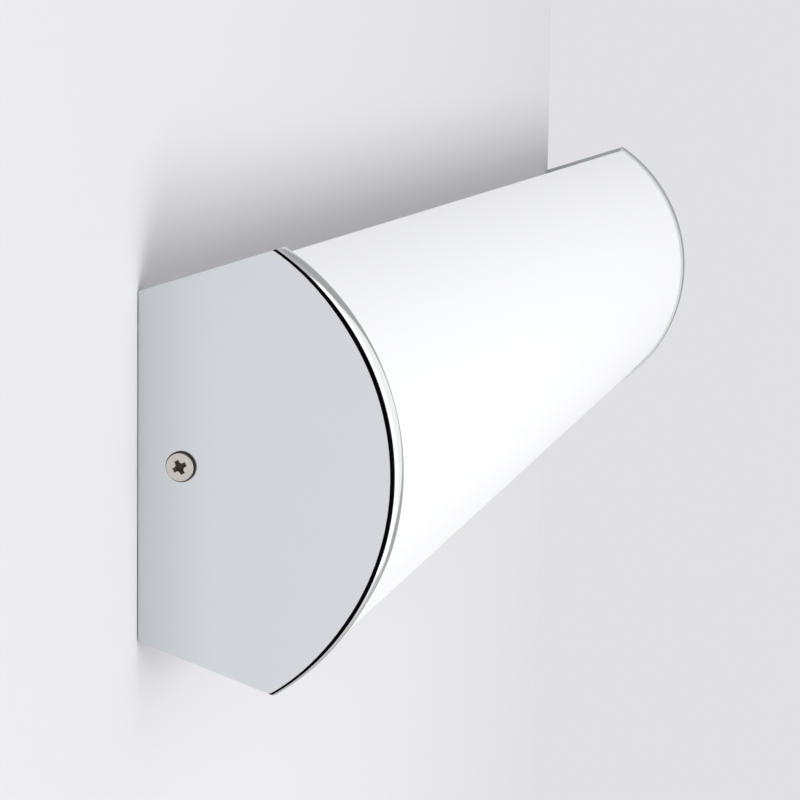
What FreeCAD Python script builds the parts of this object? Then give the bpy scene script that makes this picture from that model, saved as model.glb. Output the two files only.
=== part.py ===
import FreeCAD, Part
import math
import os
from types import SimpleNamespace

import Sketcher

# Bathroom wall light: a folded channel that lies on the wall, a gear tray with a tube lamp,
# an opal arc diffuser that slides along the channel, and a pressed cap at each end.
# Lengths are in millimetres. X runs along the light, +Z is up, the wall is at Y = 0 and the
# front faces -Y. The origin is the middle of the channel's back, on the wall.

# Driving sizes

SIZES = {
    # outline of the light, over the end caps
    "body_length": 600.0,
    "body_height": 110.0,
    "wall_height": 87.0,
    "corner_reach": 35.0,
    # end caps, pressed from sheet
    "cap_sheet": 0.8,
    "cap_bend": 2.0,
    "cap_depth": 7.6,
    "cap_hole": 4.5,
    "cap_screw_reach": 11.0,
    "cap_screw_rise": 0.9,
    # foam gasket inside each cap
    "gasket_thickness": 2.0,
    "gasket_width": 5.0,
    "gasket_gap": 0.1,
    # channel, folded from sheet
    "channel_sheet": 1.0,
    "channel_bend": 1.6,
    "channel_step": 1.6,
    "lip_reach": 3.4,
    "lip_gap": 0.45,
    "tab_width": 24.0,
    "tab_reach": 22.0,
    "tab_gap": 0.3,
    # slots and holes of the back plate
    "slot_spacing": 400.0,
    "slot_length": 14.0,
    "slot_width": 5.2,
    "entry_place": 172.0,
    "entry_hole": 16.0,
    # opal diffuser
    "diffuser_wall": 2.0,
    "diffuser_gap": 0.3,
    "web_wall": 1.5,
    "hook_wall": 1.5,
    "hook_reach": 1.9,
    "slide_gap": 0.3,
    # cap screws, their washers and the nuts that they run in
    "cap_screw_shank": 4.0,
    "cap_screw_head": 7.0,
    "cap_screw_head_height": 0.9,
    "cap_screw_head_round": 0.2,
    "cap_screw_length": 10.0,
    "cap_screw_tip": 0.5,
    "recess_width": 3.7,
    "recess_arm": 1.1,
    "recess_depth": 0.8,
    "recess_turn": 29.0,
    "washer_size": 7.7,
    "washer_hole": 4.2,
    "washer_thickness": 0.5,
    "washer_gap": 1.2,
    "washer_gap_turn": 34.0,
    "nut_bore": 4.1,
    "nut_neck": 5.6,
    "nut_body": 7.4,
    "nut_length": 3.2,
    # gear tray
    "tray_margin": 3.1,
    "tray_reach": 25.0,
    "tray_height": 60.0,
    "tray_sheet": 0.8,
    "tray_bend": 1.6,
    "post_offset": 4.5,
    "post_size": 8.0,
    "post_bore": 4.1,
    "small_shank": 4.0,
    "small_head": 7.0,
    "small_head_height": 2.0,
    "small_slot": 1.0,
    "small_slot_depth": 0.9,
    "tray_screw_length": 8.0,
    # tube lamp, without and with its pins
    "lamp_length": 549.0,
    "lamp_size": 16.0,
    "lamp_cap_length": 9.0,
    "lamp_cap_wall": 0.4,
    "lamp_cap_floor": 0.8,
    "glass_wall": 0.8,
    "pin_length": 7.1,
    "pin_size": 2.37,
    "pin_spacing": 5.0,
    "lamp_reach": 42.0,
    # lampholders
    "holder_size": 23.0,
    "holder_thickness": 10.0,
    "holder_face_gap": 0.4,
    "holder_floor": 2.4,
    "rotor_size": 11.8,
    "rotor_gap": 0.3,
    "rotor_thickness": 3.0,
    "rotor_setback": 0.1,
    "pin_slot": 2.9,
    "foot_height": 13.0,
    "foot_depth": 8.0,
    "foot_reach": 14.0,
    "foot_gap": 0.2,
    "contact_place": 4.0,
    "contact_sheet": 0.4,
    "contact_width": 3.0,
    "contact_half_reach": 3.9,
    "contact_foot": 2.0,
    "contact_gap": 0.1,
    # ballast
    "ballast_place": 73.0,
    "ballast_length": 206.0,
    "ballast_height": 30.0,
    "ballast_reach": 20.0,
    "ballast_sheet": 0.8,
    "ballast_ear": 9.0,
    "board_length": 184.0,
    "board_height": 26.0,
    "board_thickness": 1.6,
    "board_lift": 4.0,
    "stud_size": 4.0,
    "coil_size": 16.0,
    "coil_reach": 9.0,
    "capacitor_size": 8.0,
    "capacitor_length": 20.0,
    "choke_length": 22.0,
    "connector_depth": 9.0,
    "connector_height": 24.0,
    "connector_reach": 9.0,
    # terminal block
    "terminal_place": 112.0,
    "terminal_pitch": 10.0,
    "terminal_depth": 22.0,
    "terminal_reach": 15.0,
    "terminal_wall": 2.0,
    "sleeve_size": 5.6,
    "sleeve_bore": 3.2,
    "sleeve_length": 18.0,
    "sleeve_reach": 6.0,
    "clamp_screw_size": 3.0,
    "clamp_screw_length": 6.0,
    "clamp_screw_spacing": 11.0,
    "block_screw_shank": 3.0,
    "block_screw_head": 5.5,
    "block_screw_head_height": 1.6,
    # cable clamp over the supply cable
    "clamp_place": 146.0,
    "clamp_width": 9.0,
    "clamp_height": 28.0,
    "clamp_reach": 10.0,
    "cable_size": 7.0,
    "clamp_hole_spacing": 19.0,
    # grommet in the cable entry
    "grommet_flange": 20.0,
    "grommet_flange_thickness": 2.0,
    "grommet_bore": 8.0,
    # earth terminal
    "earth_place": 80.0,
    "earth_height": 20.0,
    "earth_stud": 4.0,
    "earth_stud_reach": 12.0,
    "earth_flange": 7.0,
    "earth_flange_thickness": 1.0,
    "earth_ring": 8.0,
    "earth_ring_sheet": 0.8,
    "earth_tail": 6.0,
    "earth_washer": 8.4,
    "earth_washer_thickness": 0.9,
    "earth_nut": 7.0,
    "earth_nut_thickness": 3.2,
    "earth_bore": 4.1,
    # insulated leads
    "lead_size": 2.0,
    "lead_bore": 2.3,
    "lead_plug": 3.0,
    # all cuts that run past a face
    "overrun": 2.0,
}

doc = FreeCAD.newDocument("wall_light")
sheet = doc.addObject("Spreadsheet::Sheet", "Sizes")
for row, (alias, number) in enumerate(SIZES.items(), start=1):
    sheet.set(f"A{row}", alias)
    sheet.set(f"B{row}", str(number))
    sheet.setAlias(f"B{row}", alias)
doc.recompute()


class Size:
    """A size worked out from the sheet: its formula for the document, and its number."""

    def __init__(self, formula, number):
        self.formula = formula
        self.number = number

    def __add__(self, other):
        return Size(f"({self.formula} + {formula(other)})", self.number + number_of(other))

    def __sub__(self, other):
        return Size(f"({self.formula} - {formula(other)})", self.number - number_of(other))

    def __mul__(self, other):
        return Size(f"({self.formula} * {formula(other)})", self.number * number_of(other))

    def __truediv__(self, other):
        return Size(f"({self.formula} / {formula(other)})", self.number / number_of(other))

    def __radd__(self, other):
        return Size(f"({formula(other)} + {self.formula})", number_of(other) + self.number)

    def __rsub__(self, other):
        return Size(f"({formula(other)} - {self.formula})", number_of(other) - self.number)

    def __rmul__(self, other):
        return Size(f"({formula(other)} * {self.formula})", number_of(other) * self.number)

    def __neg__(self):
        return Size(f"(0 - {self.formula})", -self.number)


def formula(value):
    """Gives the formula of a size, or the text of a plain number."""
    return value.formula if isinstance(value, Size) else repr(value)


def number_of(value):
    """Gives a size's number, or a plain number as it is."""
    return value.number if isinstance(value, Size) else value


def root(value):
    """The square root of a size's square."""
    return Size(f"sqrt({value.formula})", math.sqrt(value.number))


s = SimpleNamespace(**{alias: Size(f"Sizes.{alias}", number) for alias, number in SIZES.items()})


# Lines of the cross-section, all in distance from the wall and height

half_length = s.body_length / 2
half_height = s.body_height / 2
flare = (s.body_height - s.wall_height) / s.corner_reach / 2
slant = root(flare * flare + 1)
front_radius = root(half_height * half_height + s.corner_reach * s.corner_reach)


def side_height(base, reach):
    """Height of a flared side line that starts at base on the wall, at a distance from it."""
    return base + flare * reach


def side_meets_arc(base, radius):
    """Where the flared side line meets the arc of this radius about the wall's centre line."""
    span = radius * radius * slant * slant - base * base
    reach = (root(span) - base * flare) / (slant * slant)
    return reach, side_height(base, reach)


channel_outer = s.wall_height / 2 - s.channel_step
channel_inner = channel_outer - s.channel_sheet * slant
diffuser_radius = front_radius - s.cap_sheet - s.diffuser_gap
diffuser_inside = diffuser_radius - s.diffuser_wall
diffuser_corner = side_meets_arc(channel_outer, diffuser_radius)
diffuser_heel = side_meets_arc(channel_outer, diffuser_inside)
lip_front = diffuser_heel[0] - s.lip_gap
lip_back = lip_front - s.channel_sheet
lip_end = side_height(channel_inner, lip_front) - s.lip_reach
channel_end = half_length - s.cap_sheet - s.gasket_thickness
lamp_face = s.lamp_length / 2
holder_face = lamp_face + s.holder_face_gap
holder_back = holder_face + s.holder_thickness
tray_end = holder_back + s.tray_margin
ballast_far = s.ballast_place + s.ballast_length / 2 + s.ballast_ear
post_place = (ballast_far + tray_end) / 2 - s.post_offset


# Helpers that make one bound object each

def tie(thing, name, value):
    """Ties one property of an object to a size, or sets a plain number."""
    if isinstance(value, Size):
        thing.setExpression(name, value.formula)
    elif value:
        raise ValueError(f"{thing.Name}.{name} needs a named size")


def place(thing, x, reach, height):
    """Ties an object's position: along the light, out from the wall, and up."""
    tie(thing, "Placement.Base.x", x)
    tie(thing, "Placement.Base.y", -reach if isinstance(reach, Size) else 0)
    tie(thing, "Placement.Base.z", height)
    return thing


def block(name, along, out, up):
    """A box between two values along the light, out from the wall, and up."""
    box = doc.addObject("Part::Box", name)
    tie(box, "Length", along[1] - along[0])
    tie(box, "Width", out[1] - out[0])
    tie(box, "Height", up[1] - up[0])
    return place(box, along[0], out[1], up[0])


TURNS = {
    "along": FreeCAD.Rotation(FreeCAD.Vector(0, 1, 0), 90),
    "out": FreeCAD.Rotation(FreeCAD.Vector(1, 0, 0), 90),
    "up": FreeCAD.Rotation(),
}


def rod(name, heading, x, reach, height, size, length):
    """A cylinder of this diameter from a point, along the light, out from the wall or up."""
    cylinder = doc.addObject("Part::Cylinder", name)
    cylinder.Placement = FreeCAD.Placement(FreeCAD.Vector(), TURNS[heading])
    tie(cylinder, "Radius", size / 2)
    tie(cylinder, "Height", length)
    return place(cylinder, x, reach, height)


def hexagon(name, x, reach, height, across_flats, length):
    """A hexagonal bar from a point out from the wall, sized across its flats."""
    prism = doc.addObject("Part::Prism", name)
    prism.Polygon = 6
    prism.Placement = FreeCAD.Placement(FreeCAD.Vector(), TURNS["out"])
    tie(prism, "Circumradius", across_flats / root(Size("3", 3)))
    tie(prism, "Height", length)
    return place(prism, x, reach, height)


def fuse(name, *pieces):
    """One solid from pieces that meet."""
    joined = doc.addObject("Part::MultiFuse", name)
    joined.Shapes = list(pieces)
    return joined


def cut(name, base, *tools):
    """A piece with all the tools cut away."""
    result = doc.addObject("Part::Cut", name)
    result.Base = base
    result.Tool = tools[0] if len(tools) == 1 else fuse(f"{name}_cuts", *tools)
    return result


def group(name, *pieces):
    """Separate solids that share one node."""
    several = doc.addObject("Part::Compound", name)
    several.Links = list(pieces)
    return several


def mirrored(name, source):
    """The other end's copy of a piece."""
    copy = doc.addObject("Part::Mirroring", name)
    copy.Source = source
    copy.Normal = FreeCAD.Vector(1, 0, 0)
    return copy


def attach(body, name, role, offset, side=0):
    """A sketch on one of the body's own planes, moved along its normal and sideways."""
    sketch = body.newObject("Sketcher::SketchObject", name)
    plane = next(part for part in body.Origin.OriginFeatures if part.Role == role)
    sketch.AttachmentSupport = (plane, [""])
    sketch.MapMode = "FlatFace"
    tie(sketch, "AttachmentOffset.Base.z", offset)
    tie(sketch, "AttachmentOffset.Base.y", side)
    return sketch


def pin_point(sketch, geometry, end, across, up):
    """Ties one end of a line or arc to its place in the sketch."""
    for kind, axis, value in (("DistanceX", -2, across), ("DistanceY", -1, up)):
        if isinstance(value, Size):
            constraint = Sketcher.Constraint(kind, -1, 1, geometry, end, value.number)
            sketch.setExpression(f"Constraints[{sketch.addConstraint(constraint)}]", value.formula)
        else:
            sketch.addConstraint(Sketcher.Constraint("PointOnObject", geometry, end, axis))


def arc_between(start, end, radius, turn):
    """The short arc of a radius between two points, turning left (1) or right (-1)."""
    chord = end - start
    middle = (start + end) * 0.5
    sagitta = math.sqrt(max(radius * radius - chord.Length ** 2 / 4, 0))
    left = FreeCAD.Vector(-chord.y, chord.x, 0).normalize()
    centre = middle + left * (sagitta * turn)
    first, last = (start, end) if turn > 0 else (end, start)
    angles = [math.atan2(point.y - centre.y, point.x - centre.x) for point in (first, last)]
    return Part.ArcOfCircle(Part.Circle(centre, FreeCAD.Vector(0, 0, 1), radius), *angles)


def draw(sketch, corners):
    """Draws a closed outline. A corner is two sizes, or four where an arc leaves it."""
    points = [FreeCAD.Vector(number_of(corner[0]), number_of(corner[1]), 0) for corner in corners]
    ends = []
    for index, corner in enumerate(corners):
        start = points[index]
        end = points[(index + 1) % len(points)]
        if len(corner) == 2:
            line = sketch.addGeometry(Part.LineSegment(start, end))
            ends.append((line, 1, 2))
        else:
            radius, turn = corner[2:]
            line = sketch.addGeometry(arc_between(start, end, radius.number, turn))
            ends.append((line, 1, 2) if turn > 0 else (line, 2, 1))
    for index, (line, first, last) in enumerate(ends):
        following = ends[(index + 1) % len(ends)]
        sketch.addConstraint(Sketcher.Constraint("Coincident", line, last, following[0], following[1]))
    for index, (line, first, last) in enumerate(ends):
        pin_point(sketch, line, first, corners[index][0], corners[index][1])
        if len(corners[index]) == 4:
            radius = corners[index][2]
            constraint = Sketcher.Constraint("Radius", line, radius.number)
            sketch.setExpression(f"Constraints[{sketch.addConstraint(constraint)}]", radius.formula)


def circle(sketch, across, up, size):
    """Draws a circle by its centre and its diameter."""
    middle = FreeCAD.Vector(number_of(across), number_of(up), 0)
    ring = sketch.addGeometry(Part.Circle(middle, FreeCAD.Vector(0, 0, 1), size.number / 2))
    pin_point(sketch, ring, 3, across, up)
    constraint = Sketcher.Constraint("Diameter", ring, size.number)
    sketch.setExpression(f"Constraints[{sketch.addConstraint(constraint)}]", size.formula)


def section(name, corners, start, length):
    """A body that runs along the light with one cross-section of reach and height."""
    body = doc.addObject("PartDesign::Body", name)
    sketch = attach(body, f"{name}_outline", "YZ_Plane", start)
    draw(sketch, [(-corner[0] if isinstance(corner[0], Size) else 0, *corner[1:]) for corner in corners])
    pad = body.newObject("PartDesign::Pad", f"{name}_run")
    pad.Profile = sketch
    tie(pad, "Length", length)
    doc.recompute()
    return body


def turned(name, reach, height, corners):
    """A body turned about an axis that runs along the light, from steps of place and radius."""
    body = doc.addObject("PartDesign::Body", name)
    sketch = attach(body, f"{name}_profile", "XY_Plane", height, -reach)
    draw(sketch, corners)
    spin = body.newObject("PartDesign::Revolution", f"{name}_turn")
    spin.Profile = sketch
    spin.ReferenceAxis = (sketch, ["H_Axis"])
    spin.Angle = 360
    doc.recompute()
    return body


def round_edges(body, name, radius, chosen):
    """Rounds the body's edges that the test picks."""
    base = body.Tip
    picked = [f"Edge{index}" for index, edge in enumerate(base.Shape.Edges, start=1) if chosen(edge)]
    fillet = body.newObject("PartDesign::Fillet", name)
    fillet.Base = (base, picked)
    tie(fillet, "Radius", radius)
    doc.recompute()


def near(first, second):
    """Whether two numbers are the same but for rounding."""
    return math.isclose(first, second, abs_tol=1e-4 * s.channel_sheet.number)


def runs_along(edge):
    """Whether an edge is straight and runs along the light."""
    return isinstance(edge.Curve, Part.Line) and near(abs(edge.tangentAt(edge.FirstParameter).x), 1)


def level(edge, reach, height):
    """Whether an edge lies at this distance from the wall, at this height above or below."""
    middle = edge.CenterOfMass
    return near(-middle.y, number_of(reach)) and near(abs(middle.z), number_of(height))


nodes = []


def keep(label, thing):
    """Names a finished piece and lists it for writing."""
    thing.Label = label
    nodes.append(thing)
    return thing


def small_screw(name, x, reach, height, length, shank, head, head_height):
    """A slotted screw whose head's underside is at a distance from the wall."""
    stem = rod(f"{name}_stem", "out", x, reach - length, height, shank, length)
    top = rod(f"{name}_head", "out", x, reach, height, head, head_height)
    slot_floor = reach + head_height - s.small_slot_depth
    slot = block(
        f"{name}_slot",
        (x - head, x + head),
        (slot_floor, slot_floor + s.overrun),
        (height - s.small_slot / 2, height + s.small_slot / 2),
    )
    return cut(name, fuse(f"{name}_blank", stem, top), slot)


# Channel

channel_profile = [
    (0, -channel_outer),
    (lip_front, -side_height(channel_outer, lip_front)),
    (lip_front, -lip_end),
    (lip_back, -lip_end),
    (lip_back, -side_height(channel_inner, lip_back)),
    (s.channel_sheet, -side_height(channel_inner, s.channel_sheet)),
    (s.channel_sheet, side_height(channel_inner, s.channel_sheet)),
    (lip_back, side_height(channel_inner, lip_back)),
    (lip_back, lip_end),
    (lip_front, lip_end),
    (lip_front, side_height(channel_outer, lip_front)),
    (0, channel_outer),
]
channel = section("channel_sheet_metal", channel_profile, -channel_end, channel_end * 2)
round_edges(
    channel, "channel_folds", s.channel_bend,
    lambda edge: runs_along(edge) and (
        level(edge, 0, channel_outer) or level(edge, lip_front, side_height(channel_outer, lip_front))
    ),
)
inner_bend = s.channel_bend - s.channel_sheet
round_edges(
    channel, "channel_inner_folds", inner_bend,
    lambda edge: runs_along(edge) and (
        level(edge, s.channel_sheet, side_height(channel_inner, s.channel_sheet))
        or level(edge, lip_back, side_height(channel_inner, lip_back))
    ),
)

tab_face = half_length - s.cap_sheet - s.tab_gap
tab_half = s.tab_width / 2
left_tab = fuse(
    "left_tab",
    block("left_tab_plate", (-tab_face, s.channel_sheet - tab_face),
          (0, s.tab_reach), (-tab_half, tab_half)),
    block("left_tab_root", (-tab_face, -channel_end),
          (0, s.channel_sheet), (-tab_half, tab_half)),
)
left_tab_hole = rod(
    "left_tab_hole", "along", -tab_face - s.overrun, s.cap_screw_reach, s.cap_screw_rise,
    s.nut_neck, s.channel_sheet + s.overrun * 2,
)
right_tab_hole = mirrored("right_tab_hole", left_tab_hole)


def slot_tool(name, x):
    """Cuts one fixing slot, long way along the light."""
    straight = (s.slot_length - s.slot_width) / 2
    deep = s.channel_sheet + s.overrun * 2
    start = -s.overrun
    middle = block(
        f"{name}_middle", (x - straight, x + straight), (start, start + deep),
        (-s.slot_width / 2, s.slot_width / 2),
    )
    ends = [
        rod(f"{name}_end_{side}", "out", x + straight * sign, start, 0, s.slot_width, deep)
        for side, sign in (("a", -1), ("b", 1))
    ]
    return fuse(name, middle, *ends)


def plate_hole(name, x, height, size):
    """Cuts a round hole through the back plate."""
    return rod(name, "out", x, -s.overrun, height, size, s.channel_sheet + s.overrun * 2)


post_neck = s.post_size - s.channel_sheet * 2
ballast_middle = s.ballast_place
ear_places = [
    ballast_middle + (s.ballast_length / 2 + s.ballast_ear / 2) * sign for sign in (-1, 1)
]
clamp_holes = [s.clamp_hole_spacing / 2 * sign for sign in (-1, 1)]
plate_cuts = [
    left_tab_hole,
    right_tab_hole,
    slot_tool("left_slot", -s.slot_spacing / 2),
    slot_tool("right_slot", s.slot_spacing / 2),
    plate_hole("entry_cut", -s.entry_place, 0, s.entry_hole),
    plate_hole("left_post_cut", -post_place, 0, post_neck),
    plate_hole("right_post_cut", post_place, 0, post_neck),
    plate_hole("earth_cut", -s.earth_place, s.earth_height, s.earth_stud),
    plate_hole("terminal_cut_low", -s.terminal_place, -s.terminal_pitch / 2, s.block_screw_shank),
    plate_hole("terminal_cut_high", -s.terminal_place, s.terminal_pitch / 2, s.block_screw_shank),
]
for index, x in enumerate(ear_places):
    plate_cuts.append(plate_hole(f"ballast_cut_{'ab'[index]}", x, 0, s.small_shank))
for index, height in enumerate(clamp_holes):
    plate_cuts.append(plate_hole(f"clamp_cut_{'ab'[index]}", -s.clamp_place, height, s.block_screw_shank))
channel_blank = fuse("channel_blank", channel, left_tab, mirrored("right_tab", left_tab))
keep("back_channel", cut("back_channel", channel_blank, *plate_cuts))

# Clinch nuts in the end tabs

nut_face = s.channel_sheet - tab_face
clinch_nut_left = turned("clinch_nut", s.cap_screw_reach, s.cap_screw_rise, [
    (-tab_face, s.nut_bore / 2),
    (nut_face + s.nut_length, s.nut_bore / 2),
    (nut_face + s.nut_length, s.nut_body / 2),
    (nut_face, s.nut_body / 2),
    (nut_face, s.nut_neck / 2),
    (-tab_face, s.nut_neck / 2),
])
keep("clinch_nut_left", clinch_nut_left)
keep("clinch_nut_right", mirrored("clinch_nut_other", clinch_nut_left))

# Grommet in the cable entry

grommet = cut(
    "grommet",
    fuse(
        "grommet_blank",
        rod("grommet_neck", "out", -s.entry_place, 0, 0, s.entry_hole, s.channel_sheet),
        rod("grommet_flange_disc", "out", -s.entry_place, s.channel_sheet, 0,
            s.grommet_flange, s.grommet_flange_thickness),
    ),
    rod("grommet_hole", "out", -s.entry_place, -s.overrun, 0, s.grommet_bore,
        s.channel_sheet + s.grommet_flange_thickness + s.overrun * 2),
)
keep("cable_grommet", grommet)

# Clamp over the supply cable

clamp_half = s.clamp_width / 2
clamp_body = block(
    "clamp_body", (-s.clamp_place - clamp_half, clamp_half - s.clamp_place),
    (s.channel_sheet, s.clamp_reach), (-s.clamp_height / 2, s.clamp_height / 2),
)
clamp_groove = rod(
    "clamp_groove", "along", -s.clamp_place - clamp_half - s.overrun, s.channel_sheet + s.cable_size / 2, 0,
    s.cable_size, s.clamp_width + s.overrun * 2,
)
clamp_mouth = block(
    "clamp_mouth", (-s.clamp_place - clamp_half - s.overrun, clamp_half + s.overrun - s.clamp_place),
    (0, s.channel_sheet + s.cable_size / 2), (-s.cable_size / 2, s.cable_size / 2),
)
clamp_bores = [
    rod(f"clamp_bore_{'ab'[index]}", "out", -s.clamp_place, 0, height,
        s.block_screw_shank, s.clamp_reach + s.overrun)
    for index, height in enumerate(clamp_holes)
]
keep("cable_clamp", cut("cable_clamp_piece", clamp_body, clamp_groove, clamp_mouth, *clamp_bores))
screw_floor = s.channel_sheet / 2
keep("cable_clamp_screws", group("clamp_screw_pair", *[
    small_screw(
        f"clamp_screw_{'ab'[index]}", -s.clamp_place, s.clamp_reach, height, s.clamp_reach - screw_floor,
        s.block_screw_shank, s.block_screw_head, s.block_screw_head_height,
    )
    for index, height in enumerate(clamp_holes)
]))

# Terminal block: three poles one above the other, with a brass sleeve in each

pole_heights = [-s.terminal_pitch, 0, s.terminal_pitch]
terminal_half = s.terminal_depth / 2
terminal_back = -s.terminal_place - terminal_half
terminal_front = terminal_half - s.terminal_place
terminal_top = s.terminal_pitch * 3 / 2 + s.terminal_wall / 2
screw_places = [s.clamp_screw_spacing / 2 * sign - s.terminal_place for sign in (-1, 1)]
terminal_tools = []
sleeves = []
pole_screws = []
for pole, height in zip(("live", "neutral", "earth"), pole_heights):
    terminal_tools.append(rod(
        f"{pole}_bore", "along", terminal_back - s.overrun, s.channel_sheet + s.sleeve_reach, height,
        s.sleeve_size, s.terminal_depth + s.overrun * 2,
    ))
    sleeve_start = -s.terminal_place - s.sleeve_length / 2
    sleeve = rod(f"{pole}_sleeve", "along", sleeve_start, s.channel_sheet + s.sleeve_reach, height,
                 s.sleeve_size, s.sleeve_length)
    tools = [rod(f"{pole}_sleeve_bore", "along", sleeve_start - s.overrun, s.channel_sheet + s.sleeve_reach,
                 height, s.sleeve_bore, s.sleeve_length + s.overrun * 2)]
    sleeve_front = s.channel_sheet + s.sleeve_reach + s.sleeve_size / 2
    for index, x in enumerate(screw_places):
        mark = f"{pole}_{'ab'[index]}"
        terminal_tools.append(rod(f"{mark}_well", "out", x, s.channel_sheet + s.sleeve_reach, height,
                                  s.sleeve_size - s.terminal_wall / 2, s.terminal_reach))
        tools.append(rod(f"{mark}_thread", "out", x, s.channel_sheet + s.sleeve_reach, height,
                         s.clamp_screw_size, s.sleeve_size))
        stem = rod(f"{mark}_stem", "out", x, sleeve_front - s.sleeve_size / 4, height,
                   s.clamp_screw_size, s.clamp_screw_length)
        drive = block(
            f"{mark}_drive", (x - s.clamp_screw_size, x + s.clamp_screw_size),
            (sleeve_front - s.sleeve_size / 4 + s.clamp_screw_length - s.small_slot_depth,
             sleeve_front + s.clamp_screw_length + s.overrun),
            (height - s.small_slot / 4, height + s.small_slot / 4),
        )
        pole_screws.append(cut(f"{mark}_screw", stem, drive))
    sleeves.append(cut(f"{pole}_clamp", sleeve, *tools))
block_holes = [s.terminal_pitch / 2 * sign for sign in (-1, 1)]
for index, height in enumerate(block_holes):
    terminal_tools.append(rod(f"block_bore_{'ab'[index]}", "out", -s.terminal_place, 0, height,
                              s.block_screw_shank, s.terminal_reach + s.overrun))
terminal_body = block(
    "terminal_body", (terminal_back, terminal_front), (s.channel_sheet, s.channel_sheet + s.terminal_reach),
    (-terminal_top, terminal_top),
)
keep("terminal_block", cut("terminal_block_piece", terminal_body, *terminal_tools))
keep("terminal_sleeves", group("terminal_sleeve_set", *sleeves))
keep("terminal_screws", group("terminal_screw_set", *pole_screws))
terminal_face = s.channel_sheet + s.terminal_reach
keep("terminal_block_screws", group("terminal_block_screw_pair", *[
    small_screw(
        f"block_screw_{'ab'[index]}", -s.terminal_place, terminal_face, height, terminal_face - screw_floor,
        s.block_screw_shank, s.block_screw_head - s.terminal_wall / 2, s.block_screw_head_height,
    )
    for index, height in enumerate(block_holes)
]))

# Earth terminal: a stud through the back plate with a ring, a washer and a nut

earth_x = -s.earth_place
keep("earth_stud", fuse(
    "earth_stud_piece",
    rod("earth_stem", "out", earth_x, 0, s.earth_height, s.earth_stud, s.earth_stud_reach),
    rod("earth_flange_disc", "out", earth_x, s.channel_sheet, s.earth_height,
        s.earth_flange, s.earth_flange_thickness),
))
ring_back = s.channel_sheet + s.earth_flange_thickness
tail_side = s.earth_ring / 2
earth_hole = rod("earth_ring_hole", "out", earth_x, 0, s.earth_height, s.earth_bore, s.earth_stud_reach)
keep("earth_ring", cut(
    "earth_ring_piece",
    fuse(
        "earth_ring_blank",
        rod("earth_ring_disc", "out", earth_x, ring_back, s.earth_height, s.earth_ring, s.earth_ring_sheet),
        block("earth_ring_tail", (earth_x - tail_side - s.earth_tail, earth_x),
              (ring_back, ring_back + s.earth_ring_sheet),
              (s.earth_height - s.lead_size / 2, s.earth_height + s.lead_size / 2)),
    ),
    earth_hole,
))
washer_back = ring_back + s.earth_ring_sheet
keep("earth_washer", cut(
    "earth_washer_piece",
    rod("earth_washer_disc", "out", earth_x, washer_back, s.earth_height,
        s.earth_washer, s.earth_washer_thickness),
    rod("earth_washer_hole", "out", earth_x, 0, s.earth_height, s.earth_bore, s.earth_stud_reach),
))
keep("earth_nut", cut(
    "earth_nut_piece",
    hexagon("earth_nut_blank", earth_x, washer_back + s.earth_washer_thickness, s.earth_height,
            s.earth_nut, s.earth_nut_thickness),
    rod("earth_nut_hole", "out", earth_x, 0, s.earth_height, s.earth_bore, s.earth_stud_reach + s.overrun),
))

# Posts that carry the gear tray

post_front = s.tray_reach - s.tray_sheet


def tray_post(name, x):
    """A threaded post riveted into the back plate."""
    blank = fuse(
        f"{name}_blank",
        rod(f"{name}_neck", "out", x, 0, 0, post_neck, s.channel_sheet),
        hexagon(f"{name}_bar", x, s.channel_sheet, 0, s.post_size, post_front - s.channel_sheet),
    )
    depth = s.tray_screw_length + s.overrun
    bore = rod(f"{name}_bore", "out", x, post_front - depth, 0, s.post_bore, depth + s.overrun)
    return cut(name, blank, bore)


left_post = tray_post("left_post", -post_place)
right_post = tray_post("right_post", post_place)
keep("tray_posts", group("tray_post_pair", left_post, right_post))

# Gear tray, which also reflects the lamp's light

tray_half = s.tray_height / 2
tray = section("tray_sheet_metal", [
    (s.channel_sheet, -tray_half),
    (s.tray_reach, -tray_half),
    (s.tray_reach, tray_half),
    (s.channel_sheet, tray_half),
    (s.channel_sheet, tray_half - s.tray_sheet),
    (post_front, tray_half - s.tray_sheet),
    (post_front, s.tray_sheet - tray_half),
    (s.channel_sheet, s.tray_sheet - tray_half),
], -tray_end, tray_end * 2)
round_edges(
    tray, "tray_folds", s.tray_bend,
    lambda edge: runs_along(edge) and level(edge, s.tray_reach, tray_half),
)
round_edges(
    tray, "tray_inner_folds", s.tray_bend - s.tray_sheet,
    lambda edge: runs_along(edge) and level(edge, post_front, tray_half - s.tray_sheet),
)
foot_back = holder_back - (s.holder_thickness - s.foot_depth) / 2
foot_front = foot_back - s.foot_depth
foot_half = s.foot_height / 2
window_span = (-foot_back - s.foot_gap, s.foot_gap - foot_front)
left_window = block(
    "left_window", window_span, (s.foot_reach, s.tray_reach + s.overrun),
    (-foot_half - s.foot_gap, foot_half + s.foot_gap),
)
tray_holes = [
    rod(f"tray_hole_{'ab'[index]}", "out", post_place * sign, s.foot_reach, 0, s.cap_hole, s.tray_reach)
    for index, sign in enumerate((-1, 1))
]
right_window = mirrored("right_window", left_window)
keep("gear_tray", cut("gear_tray_piece", tray, left_window, right_window, *tray_holes))
keep("tray_screws", group("tray_screw_pair", *[
    small_screw(f"tray_screw_{'ab'[index]}", post_place * sign, s.tray_reach, 0, s.tray_screw_length,
                s.small_shank, s.small_head, s.small_head_height)
    for index, sign in enumerate((-1, 1))
]))

# Ballast: a base plate with ears, a cover, and the board inside

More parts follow.
